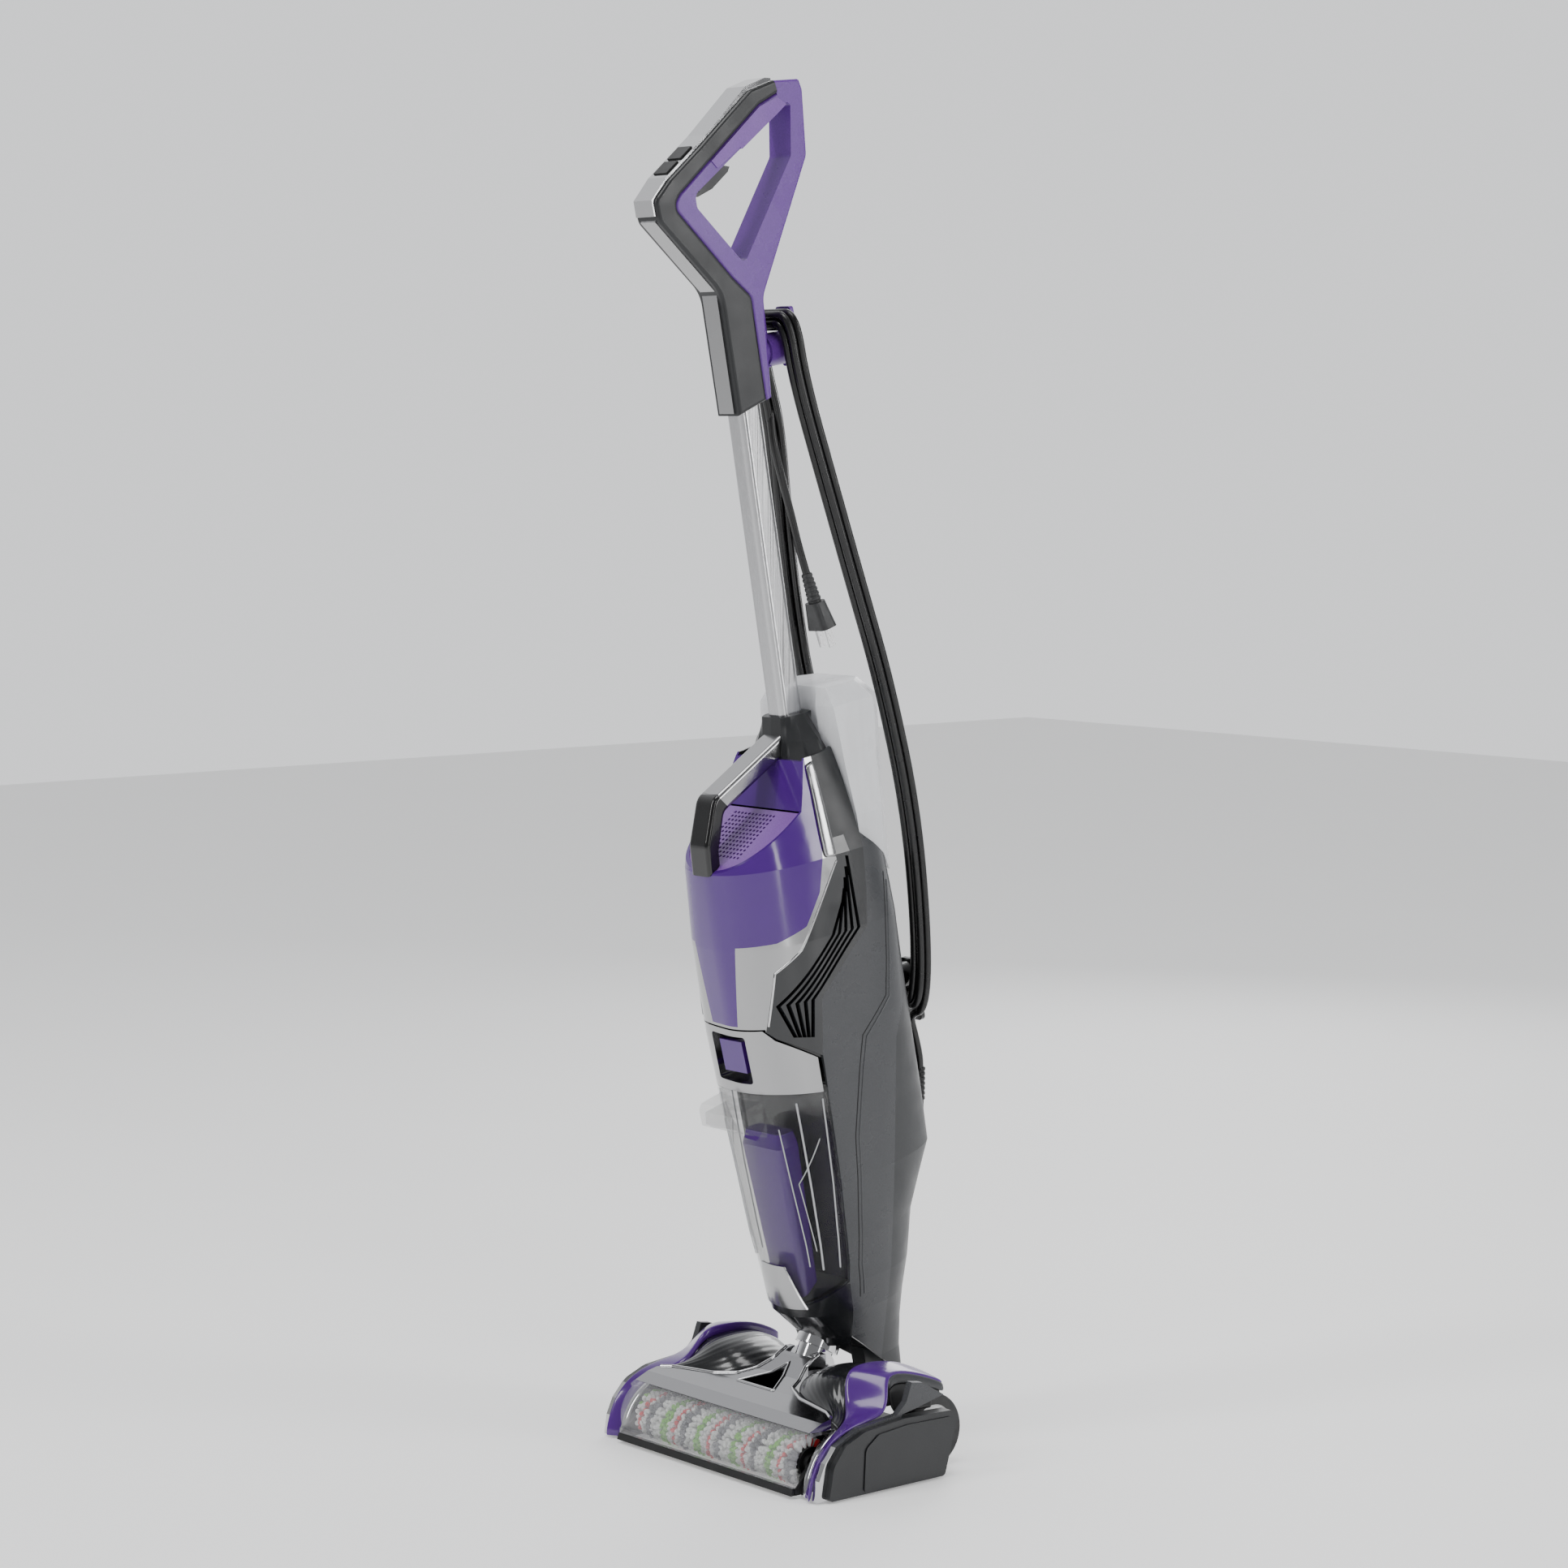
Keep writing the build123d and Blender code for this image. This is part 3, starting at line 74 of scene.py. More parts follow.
# ---------------------------------------------------------------- materials
class Material:
    """A procedural material, built up on one Principled shader."""

    def __init__(self, name, colour, roughness=0.4, metallic=0.0, **sockets):
        self.material = bpy.data.materials.new(name)
        self.material.use_nodes = True
        self.tree = self.material.node_tree
        self.shader = self.tree.nodes["Principled BSDF"]
        self.colour = (*colour, 1)
        self.shader.inputs["Base Color"].default_value = self.colour
        self.shader.inputs["Roughness"].default_value = roughness
        self.shader.inputs["Metallic"].default_value = metallic
        for socket, value in sockets.items():
            self.shader.inputs[socket.replace("_", " ")].default_value = value
        self.place = self.add("ShaderNodeTexCoord").outputs["Object"]
        self.height = None

    def add(self, kind, **values):
        node = self.tree.nodes.new(kind)
        for name, value in values.items():
            setattr(node, name, value)
        return node

    def link(self, start, end):
        self.tree.links.new(start, end)

    def noise(self, scale, detail=4.0, stretch=None):
        """Noise over the object, with its scale in cells per metre."""
        texture = self.add("ShaderNodeTexNoise")
        texture.inputs["Scale"].default_value = scale
        texture.inputs["Detail"].default_value = detail
        place = self.place
        if stretch:
            mapping = self.add("ShaderNodeMapping")
            mapping.inputs["Scale"].default_value = stretch
            self.link(place, mapping.inputs["Vector"])
            place = mapping.outputs["Vector"]
        self.link(place, texture.inputs["Vector"])
        return texture.outputs["Fac"]

    def spread(self, value, low, high):
        """A factor moved from about 0.3-0.7 to a range of values."""
        node = self.add("ShaderNodeMapRange")
        node.inputs["From Min"].default_value = 0.3
        node.inputs["From Max"].default_value = 0.7
        node.inputs["To Min"].default_value = low
        node.inputs["To Max"].default_value = high
        self.link(value, node.inputs["Value"])
        return node.outputs["Result"]

    def tint(self, value, low=0.85, high=1.15):
        """Colour that varies in brightness with a factor."""
        ramp = self.add("ShaderNodeValToRGB")
        ramp.color_ramp.elements[0].position = 0.3
        ramp.color_ramp.elements[1].position = 0.7
        ramp.color_ramp.elements[0].color = (*[min(1, part * low) for part in self.colour[:3]], 1)
        ramp.color_ramp.elements[1].color = (*[min(1, part * high) for part in self.colour[:3]], 1)
        self.link(value, ramp.inputs["Fac"])
        self.link(ramp.outputs["Color"], self.shader.inputs["Base Color"])
        return self

    def rough(self, value, low, high):
        self.link(self.spread(value, low, high), self.shader.inputs["Roughness"])
        return self

    def bump(self, value, distance, strength=0.4):
        """Bump with its height in metres, on top of any bump before it."""
        node = self.add("ShaderNodeBump")
        node.inputs["Distance"].default_value = distance
        node.inputs["Strength"].default_value = strength
        self.link(value, node.inputs["Height"])
        if self.height:
            self.link(self.height, node.inputs["Normal"])
        self.height = node.outputs["Normal"]
        self.link(self.height, self.shader.inputs["Normal"])
        return self


def gloss_plastic(name, colour, roughness=0.16, spread=0.06, grain=0.00003, **sockets):
    """Moulded gloss plastic: slow flow marks, faint orange peel, fingerprints in the roughness."""
    made = Material(name, colour, roughness, Coat_Weight=0.35, Coat_Roughness=0.06, **sockets)
    made.tint(made.noise(14, 3), 0.94, 1.06)
    made.rough(made.noise(55, 6), roughness - spread / 2, roughness + spread)
    made.bump(made.noise(420, 2), grain, 0.08)
    return made.material


def satin_plastic(name, colour, roughness=0.42, cells=2600, grain=0.00006, strength=0.35, **sockets):
    """Textured plastic: fine spark-eroded grain, with rubbed, shinier patches."""
    made = Material(name, colour, roughness, **sockets)
    made.tint(made.noise(900, 4), 0.86, 1.16)
    made.rough(made.noise(40, 5), roughness - 0.07, roughness + 0.07)
    made.bump(made.noise(cells, 3), grain, strength)
    return made.material


def metallic_paint(name, colour, roughness=0.2, metallic=0.85, **sockets):
    """Silver lacquer with flake, under a clear coat."""
    made = Material(name, colour, roughness, metallic, Coat_Weight=0.5, Coat_Roughness=0.05, **sockets)
    made.tint(made.noise(3500, 2), 0.92, 1.08)
    made.rough(made.noise(60, 5), roughness - 0.04, roughness + 0.06)
    made.bump(made.noise(3500, 1), 0.00002, 0.2)
    return made.material


def drawn_metal(name, colour, roughness=0.25, stretch=(900, 900, 8)):
    """Metal drawn or brushed along its length."""
    made = Material(name, colour, roughness, 1.0)
    lines = made.noise(1, 4, stretch)
    made.tint(lines, 0.9, 1.06)
    made.rough(lines, roughness - 0.06, roughness + 0.1)
    made.bump(lines, 0.00002, 0.25)
    return made.material


def clear_plastic(name, colour, alpha, edge_alpha, roughness=0.04, **sockets):
    """Clear moulding: see-through face on, denser and brighter towards its edges."""
    made = Material(name, colour, roughness, **sockets)
    weight = made.add("ShaderNodeLayerWeight")
    weight.inputs["Blend"].default_value = 0.35
    flow = made.spread(made.noise(24, 4, (1, 1, 0.25)), 0.85, 1.2)
    facing = made.add("ShaderNodeMapRange")
    facing.inputs["To Min"].default_value = alpha
    facing.inputs["To Max"].default_value = edge_alpha
    made.link(weight.outputs["Facing"], facing.inputs["Value"])
    product = made.add("ShaderNodeMath", operation="MULTIPLY")
    made.link(facing.outputs["Result"], product.inputs[0])
    made.link(flow, product.inputs[1])
    made.link(product.outputs["Value"], made.shader.inputs["Alpha"])
    made.rough(made.noise(45, 5), roughness - 0.02, roughness + 0.05)
    made.bump(made.noise(60, 3), 0.0001, 0.1)
    return made.material


def rubber(name, colour, roughness=0.5, cells=1500):
    made = Material(name, colour, roughness)
    made.tint(made.noise(200, 5), 0.75, 1.3)
    made.rough(made.noise(70, 5), roughness - 0.08, roughness + 0.12)
    made.bump(made.noise(cells, 4), 0.00008, 0.35)
    return made.material


def yarn(name, colour):
    made = Material(name, colour, 0.85, Sheen_Weight=0.4)
    made.tint(made.noise(700, 5), 0.7, 1.2)
    made.bump(made.noise(1500, 4), 0.0003, 0.8)
    return made.material


purple = gloss_plastic("purple_gloss", (0.062, 0.009, 0.185), 0.14)
purple_light = satin_plastic("purple_satin", (0.115, 0.032, 0.265), 0.3, grain=0.00003)
purple_soft = satin_plastic("purple_soft_touch", (0.16, 0.055, 0.32), 0.4, 3200, 0.00005, Sheen_Weight=0.15)
purple_frame = gloss_plastic("purple_frame", (0.075, 0.014, 0.2), 0.17)
silver = metallic_paint("silver_lacquer", (0.36, 0.36, 0.365), 0.17, 1.0)
chrome = metallic_paint("chromed_trim", (0.55, 0.55, 0.56), 0.09, 1.0)
tube_metal = drawn_metal("drawn_tube", (0.5, 0.5, 0.51), 0.2)
charcoal = satin_plastic("charcoal_grain", (0.011, 0.012, 0.0135), 0.36)
charcoal_gloss = gloss_plastic("charcoal_gloss", (0.011, 0.012, 0.0135), 0.2)
black = gloss_plastic("black_gloss", (0.003, 0.003, 0.0034), 0.17)
black_satin = satin_plastic("black_satin", (0.005, 0.005, 0.0055), 0.4)
grey = satin_plastic("grey_metallic", (0.042, 0.044, 0.048), 0.3, 3600, 0.00003, 0.25)
dark_shell = satin_plastic("dark_shell", (0.019, 0.0205, 0.023), 0.36)
clear = clear_plastic("clear_tank", (0.06, 0.062, 0.065), 0.04, 0.5, Coat_Weight=1.0, Specular_IOR_Level=0.8)
window_clear = clear_plastic("clear_window", (0.5, 0.5, 0.52), 0.07, 0.5, 0.03, Coat_Weight=0.6)
frost = clear_plastic("frosted_tank", (0.9, 0.91, 0.93), 0.5, 0.9, 0.28)
smoke = metallic_paint("smoked_duct", (0.26, 0.26, 0.27), 0.1, 1.0)
# pale, half see-through colour for the beads on the clear tank: painted highlight streaks
tank_highlight_paint = gloss_plastic("tank_highlight_paint", (0.55, 0.56, 0.58), 0.1, Alpha=0.75)
grille_purple = satin_plastic("grille_purple", (0.21, 0.085, 0.37), 0.34, grain=0.00003)
cord_rubber = rubber("cord_rubber", (0.0035, 0.0035, 0.0038), 0.28, 900)
plug_rubber = rubber("plug_rubber", (0.024, 0.0245, 0.026), 0.42, 1300)
tyre_rubber = rubber("tyre_rubber", (0.02, 0.02, 0.021), 0.6)
steel = drawn_metal("steel", (0.62, 0.62, 0.63), 0.3, (500, 500, 500))
white_plastic = gloss_plastic("white_hub", (0.72, 0.72, 0.73), 0.22)
YARNS = {
    "white": yarn("yarn_white", (0.8, 0.81, 0.79)),
    "green": yarn("yarn_green", (0.17, 0.55, 0.02)),
    "grey": yarn("yarn_grey", (0.16, 0.165, 0.18)),
    "red": yarn("yarn_red", (0.75, 0.015, 0.02)),
}

FINISHES = {
    purple: ["motor_cover", "tank_duct", "release_button", "clean_tank_cap"],
    purple_frame: ["foot_frame"],
    purple_light: ["handle_loop", "upper_hook"],
    grille_purple: ["grille"],
    purple_soft: ["soft_grip"],
    silver: ["front_panel", "handle_strip", "carry_handle", "badge_plate", "tank_lid"],
    chrome: ["handle_bezel", "side_trims", "swivel_neck", "neck_yoke"],
    smoke: ["suction_duct"],
    tube_metal: ["tube"],
    charcoal: ["upper_frame", "collar", "handle_shell", "side_panel_left", "side_panel_right", "trigger"],
    charcoal_gloss: ["side_vents", "dome_covers", "base_bowl"],
    black: ["carry_grip", "lower_hook", "tank_bulkhead"],
    black_satin: ["mode_button_lower", "mode_button_upper", "cord_gland", "foot_base", "brush_core",
                  "suction_fan", "suction_motor", "water_pump", "brush_motor"],
    grey: ["side_shell_left", "side_shell_right"],
    dark_shell: ["rear_shell"],
    clear: ["dirty_tank"],
    window_clear: ["brush_window"],
    frost: ["clean_tank"],
    cord_rubber: ["cord_lead", "cord_hank", "cord_tail"],
    plug_rubber: ["plug_body"],
    steel: ["plug_blades", "case_screws", "motor_pulley"],
    tyre_rubber: ["tyre_left", "tyre_right", "drive_belt"],
    white_plastic: ["wheel_hub_left", "wheel_hub_right"],
    YARNS["white"]: ["brush_pile"],
}
for material, names in FINISHES.items():
    for name in names:
        mesh = nodes[name].data
        mesh.materials.clear()
        mesh.materials.append(material)

TRIM_PAINTED_SHADE_FROM = 0.045     # the side trims are chrome up to here; above it they get the grey material as painted shade, the dark end of the trim's reflection
trim_mesh = nodes["side_trims"].data
trim_mesh.materials.append(grey)
# faces above that height take the grey material: painted shade on the chrome trim
for polygon in trim_mesh.polygons:
    polygon.material_index = int(polygon.center.z > TRIM_PAINTED_SHADE_FROM)


def shade(thing, angle=32):
    """Smooth shading that keeps edges sharper than an angle."""
    mesh = thing.data
    mesh.polygons.foreach_set("use_smooth", [True] * len(mesh.polygons))
    mesh.set_sharp_from_angle(angle=radians(angle))
    mesh.update()


def piece(name, body, vertices, faces, material, smooth=True):
    """A mesh piece that rides on a body."""
    mesh = bpy.data.meshes.new(name)
    mesh.from_pydata([tuple(vertex) for vertex in vertices], [], faces)
    mesh.materials.append(material)
    thing = bpy.data.objects.new(name, mesh)
    bpy.context.scene.collection.objects.link(thing)
    if smooth:
        shade(thing)
    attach(thing, body)
    return thing


# ---------------------------------------------------------------- cord
CORD_DIAMETER = 0.007
TURNS = 5
HUB_TOP, POST_BOTTOM = 976, 369.7
GLAND_EXIT = (9, 84, 286)
LEAD = [GLAND_EXIT, (9.5, 90, 311), (10, 88, 336), (10, 84, 360.2)]
TAIL = [(-27, 51, 902), (-24, 46, 872), (-25, 51, 840), (-32, 62, 806), (-40.5, 72.4, 775.5),
        (-39.5, 77, 748)]
# one turn, from the lower hook up the right side and down the left: x, v, w, then how a strand that lies
# further out moves across and up at that point
UP = [(24, 84, POST_BOTTOM, 1, -1), (24, 97, 420, 1, 0), (25, 104, 538, 1, 0), (23, 94, 657, 1, 0),
      (23.5, 77, 745, 1, 0), (24, 61, 831, 1, 0), (24, 44, 925, 1, 0), (24, 42.5, HUB_TOP, 1, 1),
      (0, 42.5, HUB_TOP, 0, 1)]
DOWN = [(-24, 42.5, HUB_TOP, -1, 1), (-24.5, 46, 928, -1, 0), (-30, 56, 885, -1, 0), (-49, 66, 800, -1, 0),
        (-64, 76, 735, -1, 0), (-68, 81, 650, -1, 0), (-60, 93, 560, -1, 0), (-37, 99, 470, -1, 0),
        (-24, 95, 420, -1, 0), (-24, 84, POST_BOTTOM, -1, -1), (0, 84, POST_BOTTOM, 0, -1)]
STRAND_RADIUS = 5.9


def strand_offset(turn):
    """How far out and back a turn lies in the bundle."""
    if turn == TURNS:
        return 0, 0
    angle = 2 * pi * (turn * 2 % TURNS) / TURNS + 0.5
    return STRAND_RADIUS * cos(angle), STRAND_RADIUS * sin(angle)


def cord_route():
    points = [at(*point) for point in LEAD]
    for turn in range(TURNS + 1):
        out, back = strand_offset(turn)
        last = turn == TURNS
        stretch = UP + (DOWN[:2] if last else DOWN)
        for x, v, w, across, rise in stretch:
            points.append(at(x + out * across, v + back, w + out * rise))
    return points + [at(*point) for point in TAIL]


cord_curve = bpy.data.curves.new("power_cord", "CURVE")
cord_curve.dimensions = "3D"
cord_curve.bevel_depth = CORD_DIAMETER / 2
cord_curve.bevel_resolution = 4
cord_curve.resolution_u = 8
cord_curve.use_fill_caps = True
spline = cord_curve.splines.new("NURBS")
route = cord_route()
spline.points.add(len(route) - 1)
for control, place in zip(spline.points, route):
    control.co = (*place, 1)
spline.order_u = 3
spline.use_endpoint_u = True
cord_curve.materials.append(cord_rubber)
cord = bpy.data.objects.new("power_cord", cord_curve)
bpy.context.scene.collection.objects.link(cord)
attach(cord, "upright")
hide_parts("cord_lead", "cord_hank", "cord_tail")


# ---------------------------------------------------------------- brush roll
BRUSH = foot_at(0, 31, 24)
PILE_HALF = 0.105
TUFT_ROOT, TUFT_REACH = 0.0125, 0.0095      # radius that the tufts grow from, and how far they stand out
TUFT_SIDES = 5
rng = random.Random(7)


def stripe(x, angle):
    """Which yarn stands at a place on the roll: diagonal stripes."""
    turn = (x / 0.047 + angle / (2 * pi)) % 1.0
    if turn < 0.2:
        return "green"
    if 0.36 < turn < 0.43:
        return "red"
    if 0.56 < turn < 0.72:
        return "grey"
    return "white"


def brush_roll():
    """Rows of tufts of yarn on a core."""
    rows, along = 30, 62
    groups = {name: ([], []) for name in YARNS}
    for row in range(rows):
        for step in range(along):
            x = -PILE_HALF + 2 * PILE_HALF * (step + 0.5 + 0.5 * (row % 2)) / (along + 0.5)
            angle = 2 * pi * row / rows + rng.uniform(-0.05, 0.05)
            vertices, faces = groups[stripe(x, angle)]
            length = rng.uniform(0.0205, 0.0222)
            lean_x, lean_a = rng.uniform(-0.0012, 0.0012), rng.uniform(-0.12, 0.12)
            first = len(vertices)
            rings = ((TUFT_ROOT, 0.0012), (0.018, 0.0024), (length - 0.001, 0.0021), (length, 0.0008))
            for radius, half in rings:
                share = (radius - TUFT_ROOT) / TUFT_REACH
                for corner in range(TUFT_SIDES):
                    turn = 2 * pi * corner / TUFT_SIDES + row
                    a = angle + lean_a * share + half * cos(turn) / radius
                    px = x + lean_x * share + half * sin(turn)
                    vertices.append((px, BRUSH.y + radius * cos(a), BRUSH.z + radius * sin(a)))
            for ring in range(len(rings) - 1):
                for corner in range(TUFT_SIDES):
                    a = first + ring * TUFT_SIDES + corner
                    b = first + ring * TUFT_SIDES + (corner + 1) % TUFT_SIDES
                    faces.append((a, b, b + TUFT_SIDES, a + TUFT_SIDES))
            top = first + (len(rings) - 1) * TUFT_SIDES
            faces.append(tuple(top + corner for corner in range(TUFT_SIDES)))
            faces.append(tuple(first + TUFT_SIDES - 1 - corner for corner in range(TUFT_SIDES)))
    for name, (vertices, faces) in groups.items():
        tufts = piece(f"brush_tufts_{name}", "brush", vertices, faces, YARNS[name])
        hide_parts("brush_pile")


brush_roll()

# ---------------------------------------------------------------- lines and trims on the CAD surfaces
def surface(*names):
    """Search tree of some CAD nodes' surfaces."""
    vertices, faces = [], []
    for name in names:
        mesh = nodes[name].data
        first = len(vertices)
        vertices += [vertex.co.copy() for vertex in mesh.vertices]
        faces += [[first + index for index in polygon.vertices] for polygon in mesh.polygons]
    return BVHTree.FromPolygons(vertices, faces)


def dropped(tree, place, direction):
    """The first point of a surface met from outside, or None."""
    direction = Vector(direction)
    hit = tree.ray_cast(Vector(place) - direction * 0.2, direction)[0]
    return hit


def between(points, step):
    """Points of a run of lines, at most a step apart."""
    result = [Vector(points[0])]
    for start, end in zip(points, points[1:]):
        start, end = Vector(start), Vector(end)
        count = max(1, round((end - start).length / step))
        result += [start.lerp(end, number / count) for number in range(1, count + 1)]
    return result


def line_piece(name, body, points, radius, material, closed=False):
    """A thin round bead along points."""
    curve = bpy.data.curves.new(name, "CURVE")
    curve.dimensions = "3D"
    curve.bevel_depth = radius
    curve.bevel_resolution = 2
    curve.use_fill_caps = True
    line = curve.splines.new("POLY")
    line.points.add(len(points) - 1)
    for control, place in zip(line.points, points):
        control.co = (*place, 1)
    line.use_cyclic_u = closed
    curve.materials.append(material)
    thing = bpy.data.objects.new(name, curve)
    bpy.context.scene.collection.objects.link(thing)
    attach(thing, body)
    return thing


seam_black = satin_plastic("seam_shadow", (0.006, 0.006, 0.007), 0.6)
SIDE_SEAM = [(30, 508), (23, 470), (18.6, 435), (13, 404), (-17.5, 377), (-25, 350), (-38.5, 293), (-48, 179),
             (-47, 150)]
SHELL_STEP = [(33, 500), (27, 470), (22.6, 435), (17, 402), (-13.5, 374.5), (-21, 348), (-34.5, 292),
              (-44, 179), (-43, 152)]
for side, name in ((1, "right"), (-1, "left")):
    shell = surface(f"side_shell_{name}")
    for title, outline, radius, material, lift in (("seam", SIDE_SEAM, 0.00045, seam_black, 0.0),
                                                   ("ridge", SHELL_STEP, 0.0011, grey, -0.0004)):
        points = []
        for place in between([at(0, v, w) for v, w in outline], 0.004):
            hit = dropped(shell, place + Vector((side * 0.05, 0, 0)), (-side, 0, 0))
            if hit:
                points.append(hit + Vector((side * lift, 0, 0)))
        if len(points) > 3:
            line_piece(f"shell_{title}_{name}", "upright", points, radius, material)

# purple covers and dark domes of the foot
COVER = [  # outer then inner edge, from the front edge up over the dome and back to the wheel
    ((137, 2, 2), (126.5, 8, 2)), ((137, 5, 16), (126.5, 11, 14)), ((137, 12, 34), (126, 18, 31)),
    ((137, 27, 49), (125, 31, 45)), ((137, 47, 57), (122, 48, 53)), ((137, 68, 60.5), (116, 61, 58)),
    ((136.5, 86, 63), (108, 69, 66)), ((131, 95, 73), (101, 74, 79)), ((123, 101, 85), (96, 79, 90)),
    ((119, 109, 90), (93, 88, 94)), ((118, 124, 88.5), (92, 108, 95)), ((118.5, 142, 83.5), (93, 132, 92)),
    ((119, 158, 77.5), (95, 153, 84)), ((119, 168, 73), (97, 168, 76))]
DOME_FOOT = [(112, 45, 50), (104, 50, 52), (84, 56, 55.5), (62, 61, 60), (45, 68, 64), (35, 79, 69),
             (30, 92, 73), (29, 106, 74), (30, 122, 72), (34, 138, 66)]
DOME_TOP = [(121, 49, 51.5), (115, 61.5, 57), (107, 69.5, 65), (100.5, 75, 78), (95.5, 80, 89), (93, 89, 93),
            (92, 108, 94), (92, 122, 93), (93, 134, 91), (95, 152, 83)]
DOME_BULGE = 7
DOME_DROP = 7               # how far the dome's top edge lies under the cover's ridge
COVER_BEND = 30             # behind this y the cover runs level, and in front of it down to the floor
COVER_CROWN = 0.0012
COVER_LOWEST = 0.002
REAR_ROW = 8                # first row of the cover that runs over the wheel
END_ROWS = 5                # rows of the cover beside the window's ends
FENDER_FOOT = [(100, 60), (110, 59), (121, 58.5), (133, 58), (141, 57.5), (146, 57)]


def sheet_piece(name, body, rows, material, thickness, subdivisions=2):
    """A smooth panel through rows of points, with thickness behind it."""
    width = len(rows[0])
    vertices = [place for row in rows for place in row]
    faces = [(r * width + c, r * width + c + 1, (r + 1) * width + c + 1, (r + 1) * width + c)
             for r in range(len(rows) - 1) for c in range(width - 1)]
    panel = piece(name, body, vertices, faces, material)
    solid = panel.modifiers.new("wall", "SOLIDIFY")
    solid.thickness = thickness
    solid.offset = -1
    round_off = panel.modifiers.new("round", "SUBSURF")
    round_off.levels = round_off.render_levels = subdivisions
    return panel


def cover_rows(side):
    """Rows across the cover: outer lip, rolled outer edge, crown, rolled inner edge, inner lip."""
    rows = []
    for outer, inner in COVER:
        outer_point = foot_at(side * outer[0], *outer[1:])
        inner_point = foot_at(side * inner[0], *inner[1:])
        level = outer[1] > COVER_BEND
        crown = Vector((0, 0, COVER_CROWN)) if level else Vector((0, -COVER_CROWN, 0))
        outer_lip = Vector((0, 0, -0.003)) if level else Vector((0, 0.004, 0))
        rows.append([
            outer_point + outer_lip,
            outer_point,
            outer_point.lerp(inner_point, 0.08) + crown * 0.6,
            outer_point.lerp(inner_point, 0.5) + crown,
            outer_point.lerp(inner_point, 0.92) + crown * 0.6,
            inner_point,
            inner_point + Vector((-side * 0.001, -0.001, -0.0045)),
            inner_point + Vector((-side * 0.0005, 0, -0.009)),
        ])
    rows = [[Vector((place.x, place.y, max(place.z, COVER_LOWEST))) for place in row] for row in rows]
    return rows if side < 0 else [row[::-1] for row in rows]


def dome_rows(side, ribs=9):
    """Rows up the dome, from the duct's edge to the cover's, with shallow ribs along it."""
    rows = []
    for low, high in zip(DOME_FOOT, DOME_TOP):
        low_point = foot_at(side * low[0], *low[1:])
        high_point = foot_at(side * high[0], high[1], high[2] - DOME_DROP * min(1, (high[2] - 50) / 25))
        row = []
        for number in range(2 * ribs + 1):
            share = number / (2 * ribs)
            bulge = DOME_BULGE / 1000 * sin(pi * share) + (0.0005 if number % 2 else 0)
            row.append(low_point.lerp(high_point, share) + Vector((0, -0.35 * bulge, bulge)))
        rows.append(row)
    return rows if side > 0 else [row[::-1] for row in rows]


def wheel_fender(side, name):
    """Grey band under the cover's edge over the wheel, the fender below it and the wheel well's wall."""
    edge = [foot_at(side * outer[0], *outer[1:]) for outer, inner in COVER[REAR_ROW:]]
    band = [[point + Vector((side * 0.0004, 0, -0.001)), point + Vector((side * 0.0016, 0, -0.004)),
             point + Vector((side * 0.0024, 0, -0.0095))][::side] for point in edge]
    sheet_piece(f"fender_band_{name}", "foot", band, grey, 0.002, 1)
    fender = [[point + Vector((side * 0.002, 0, -0.008)), foot_at(side * 127, low_y, low_z + 8),
               foot_at(side * 133, low_y - 2, low_z)][::side]
              for point, (low_y, low_z) in zip(edge, FENDER_FOOT)]
    sheet_piece(f"fender_{name}", "foot", fender, black_satin, 0.002, 1)
    wall = [[point + Vector((-side * 0.003, 0, -0.001)), point + Vector((-side * 0.004, 0, -0.006)),
             Vector((side * 0.114, point.y, 0.067)), Vector((side * 0.114, point.y, 0.060))][::side]
            for point in edge]
    sheet_piece(f"wheel_well_{name}", "foot", wall, black_satin, 0.002, 0)


def window_end(side, name):
    """Bright trim between the cover and the window's end."""
    rows = [[foot_at(side * inner[0], inner[1] - 0.5, inner[2] - 0.5),
             foot_at(side * (inner[0] - 4), inner[1] - 1, inner[2]),
             foot_at(side * (inner[0] - 8), inner[1] + 0.5, inner[2] - 0.5)][::-side]
            for outer, inner in COVER[:END_ROWS]]
    sheet_piece(f"window_end_{name}", "foot", rows, chrome, 0.0015, 2)


for side, name in ((1, "right"), (-1, "left")):
    cover = sheet_piece(f"foot_cover_{name}", "foot", cover_rows(side), purple_frame, 0.0035)
    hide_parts("foot_frame")
    wheel_fender(side, name)
    window_end(side, name)
    dome = sheet_piece(f"dome_{name}", "foot", dome_rows(side), charcoal_gloss, 0.002)
    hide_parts("dome_covers")

# silver band between the motor cover and the collar's legs
BAND = [((-23.5, 612), (-15.5, 615)), ((-26, 590), (-17, 592)), ((-29, 566), (-18.5, 568)),
        ((-31, 549), (-19.5, 549)), ((-31.5, 535), (-20.5, 533))]
for side, name in ((1, "right"), (-1, "left")):
    skin = surface("motor_cover", "front_panel", "upper_frame", "side_vents", "collar")
    rows = []
    for front_edge, rear_edge in BAND:
        row = []
        for share in (0, 0.12, 0.5, 0.88, 1):
            v = front_edge[0] + (rear_edge[0] - front_edge[0]) * share
            w = front_edge[1] + (rear_edge[1] - front_edge[1]) * share
            hit = dropped(skin, at(side * 60, v, w), (-side, 0, 0))
            if hit:
                row.append(hit + Vector((side * (0.0002 if share in (0, 1) else 0.0009), 0, 0)))
        if len(row) == 5:
            rows.append(row if side > 0 else row[::-1])
    if len(rows) > 1:
        sheet_piece(f"frame_band_{name}", "upright", rows, silver, 0.0015, 1)
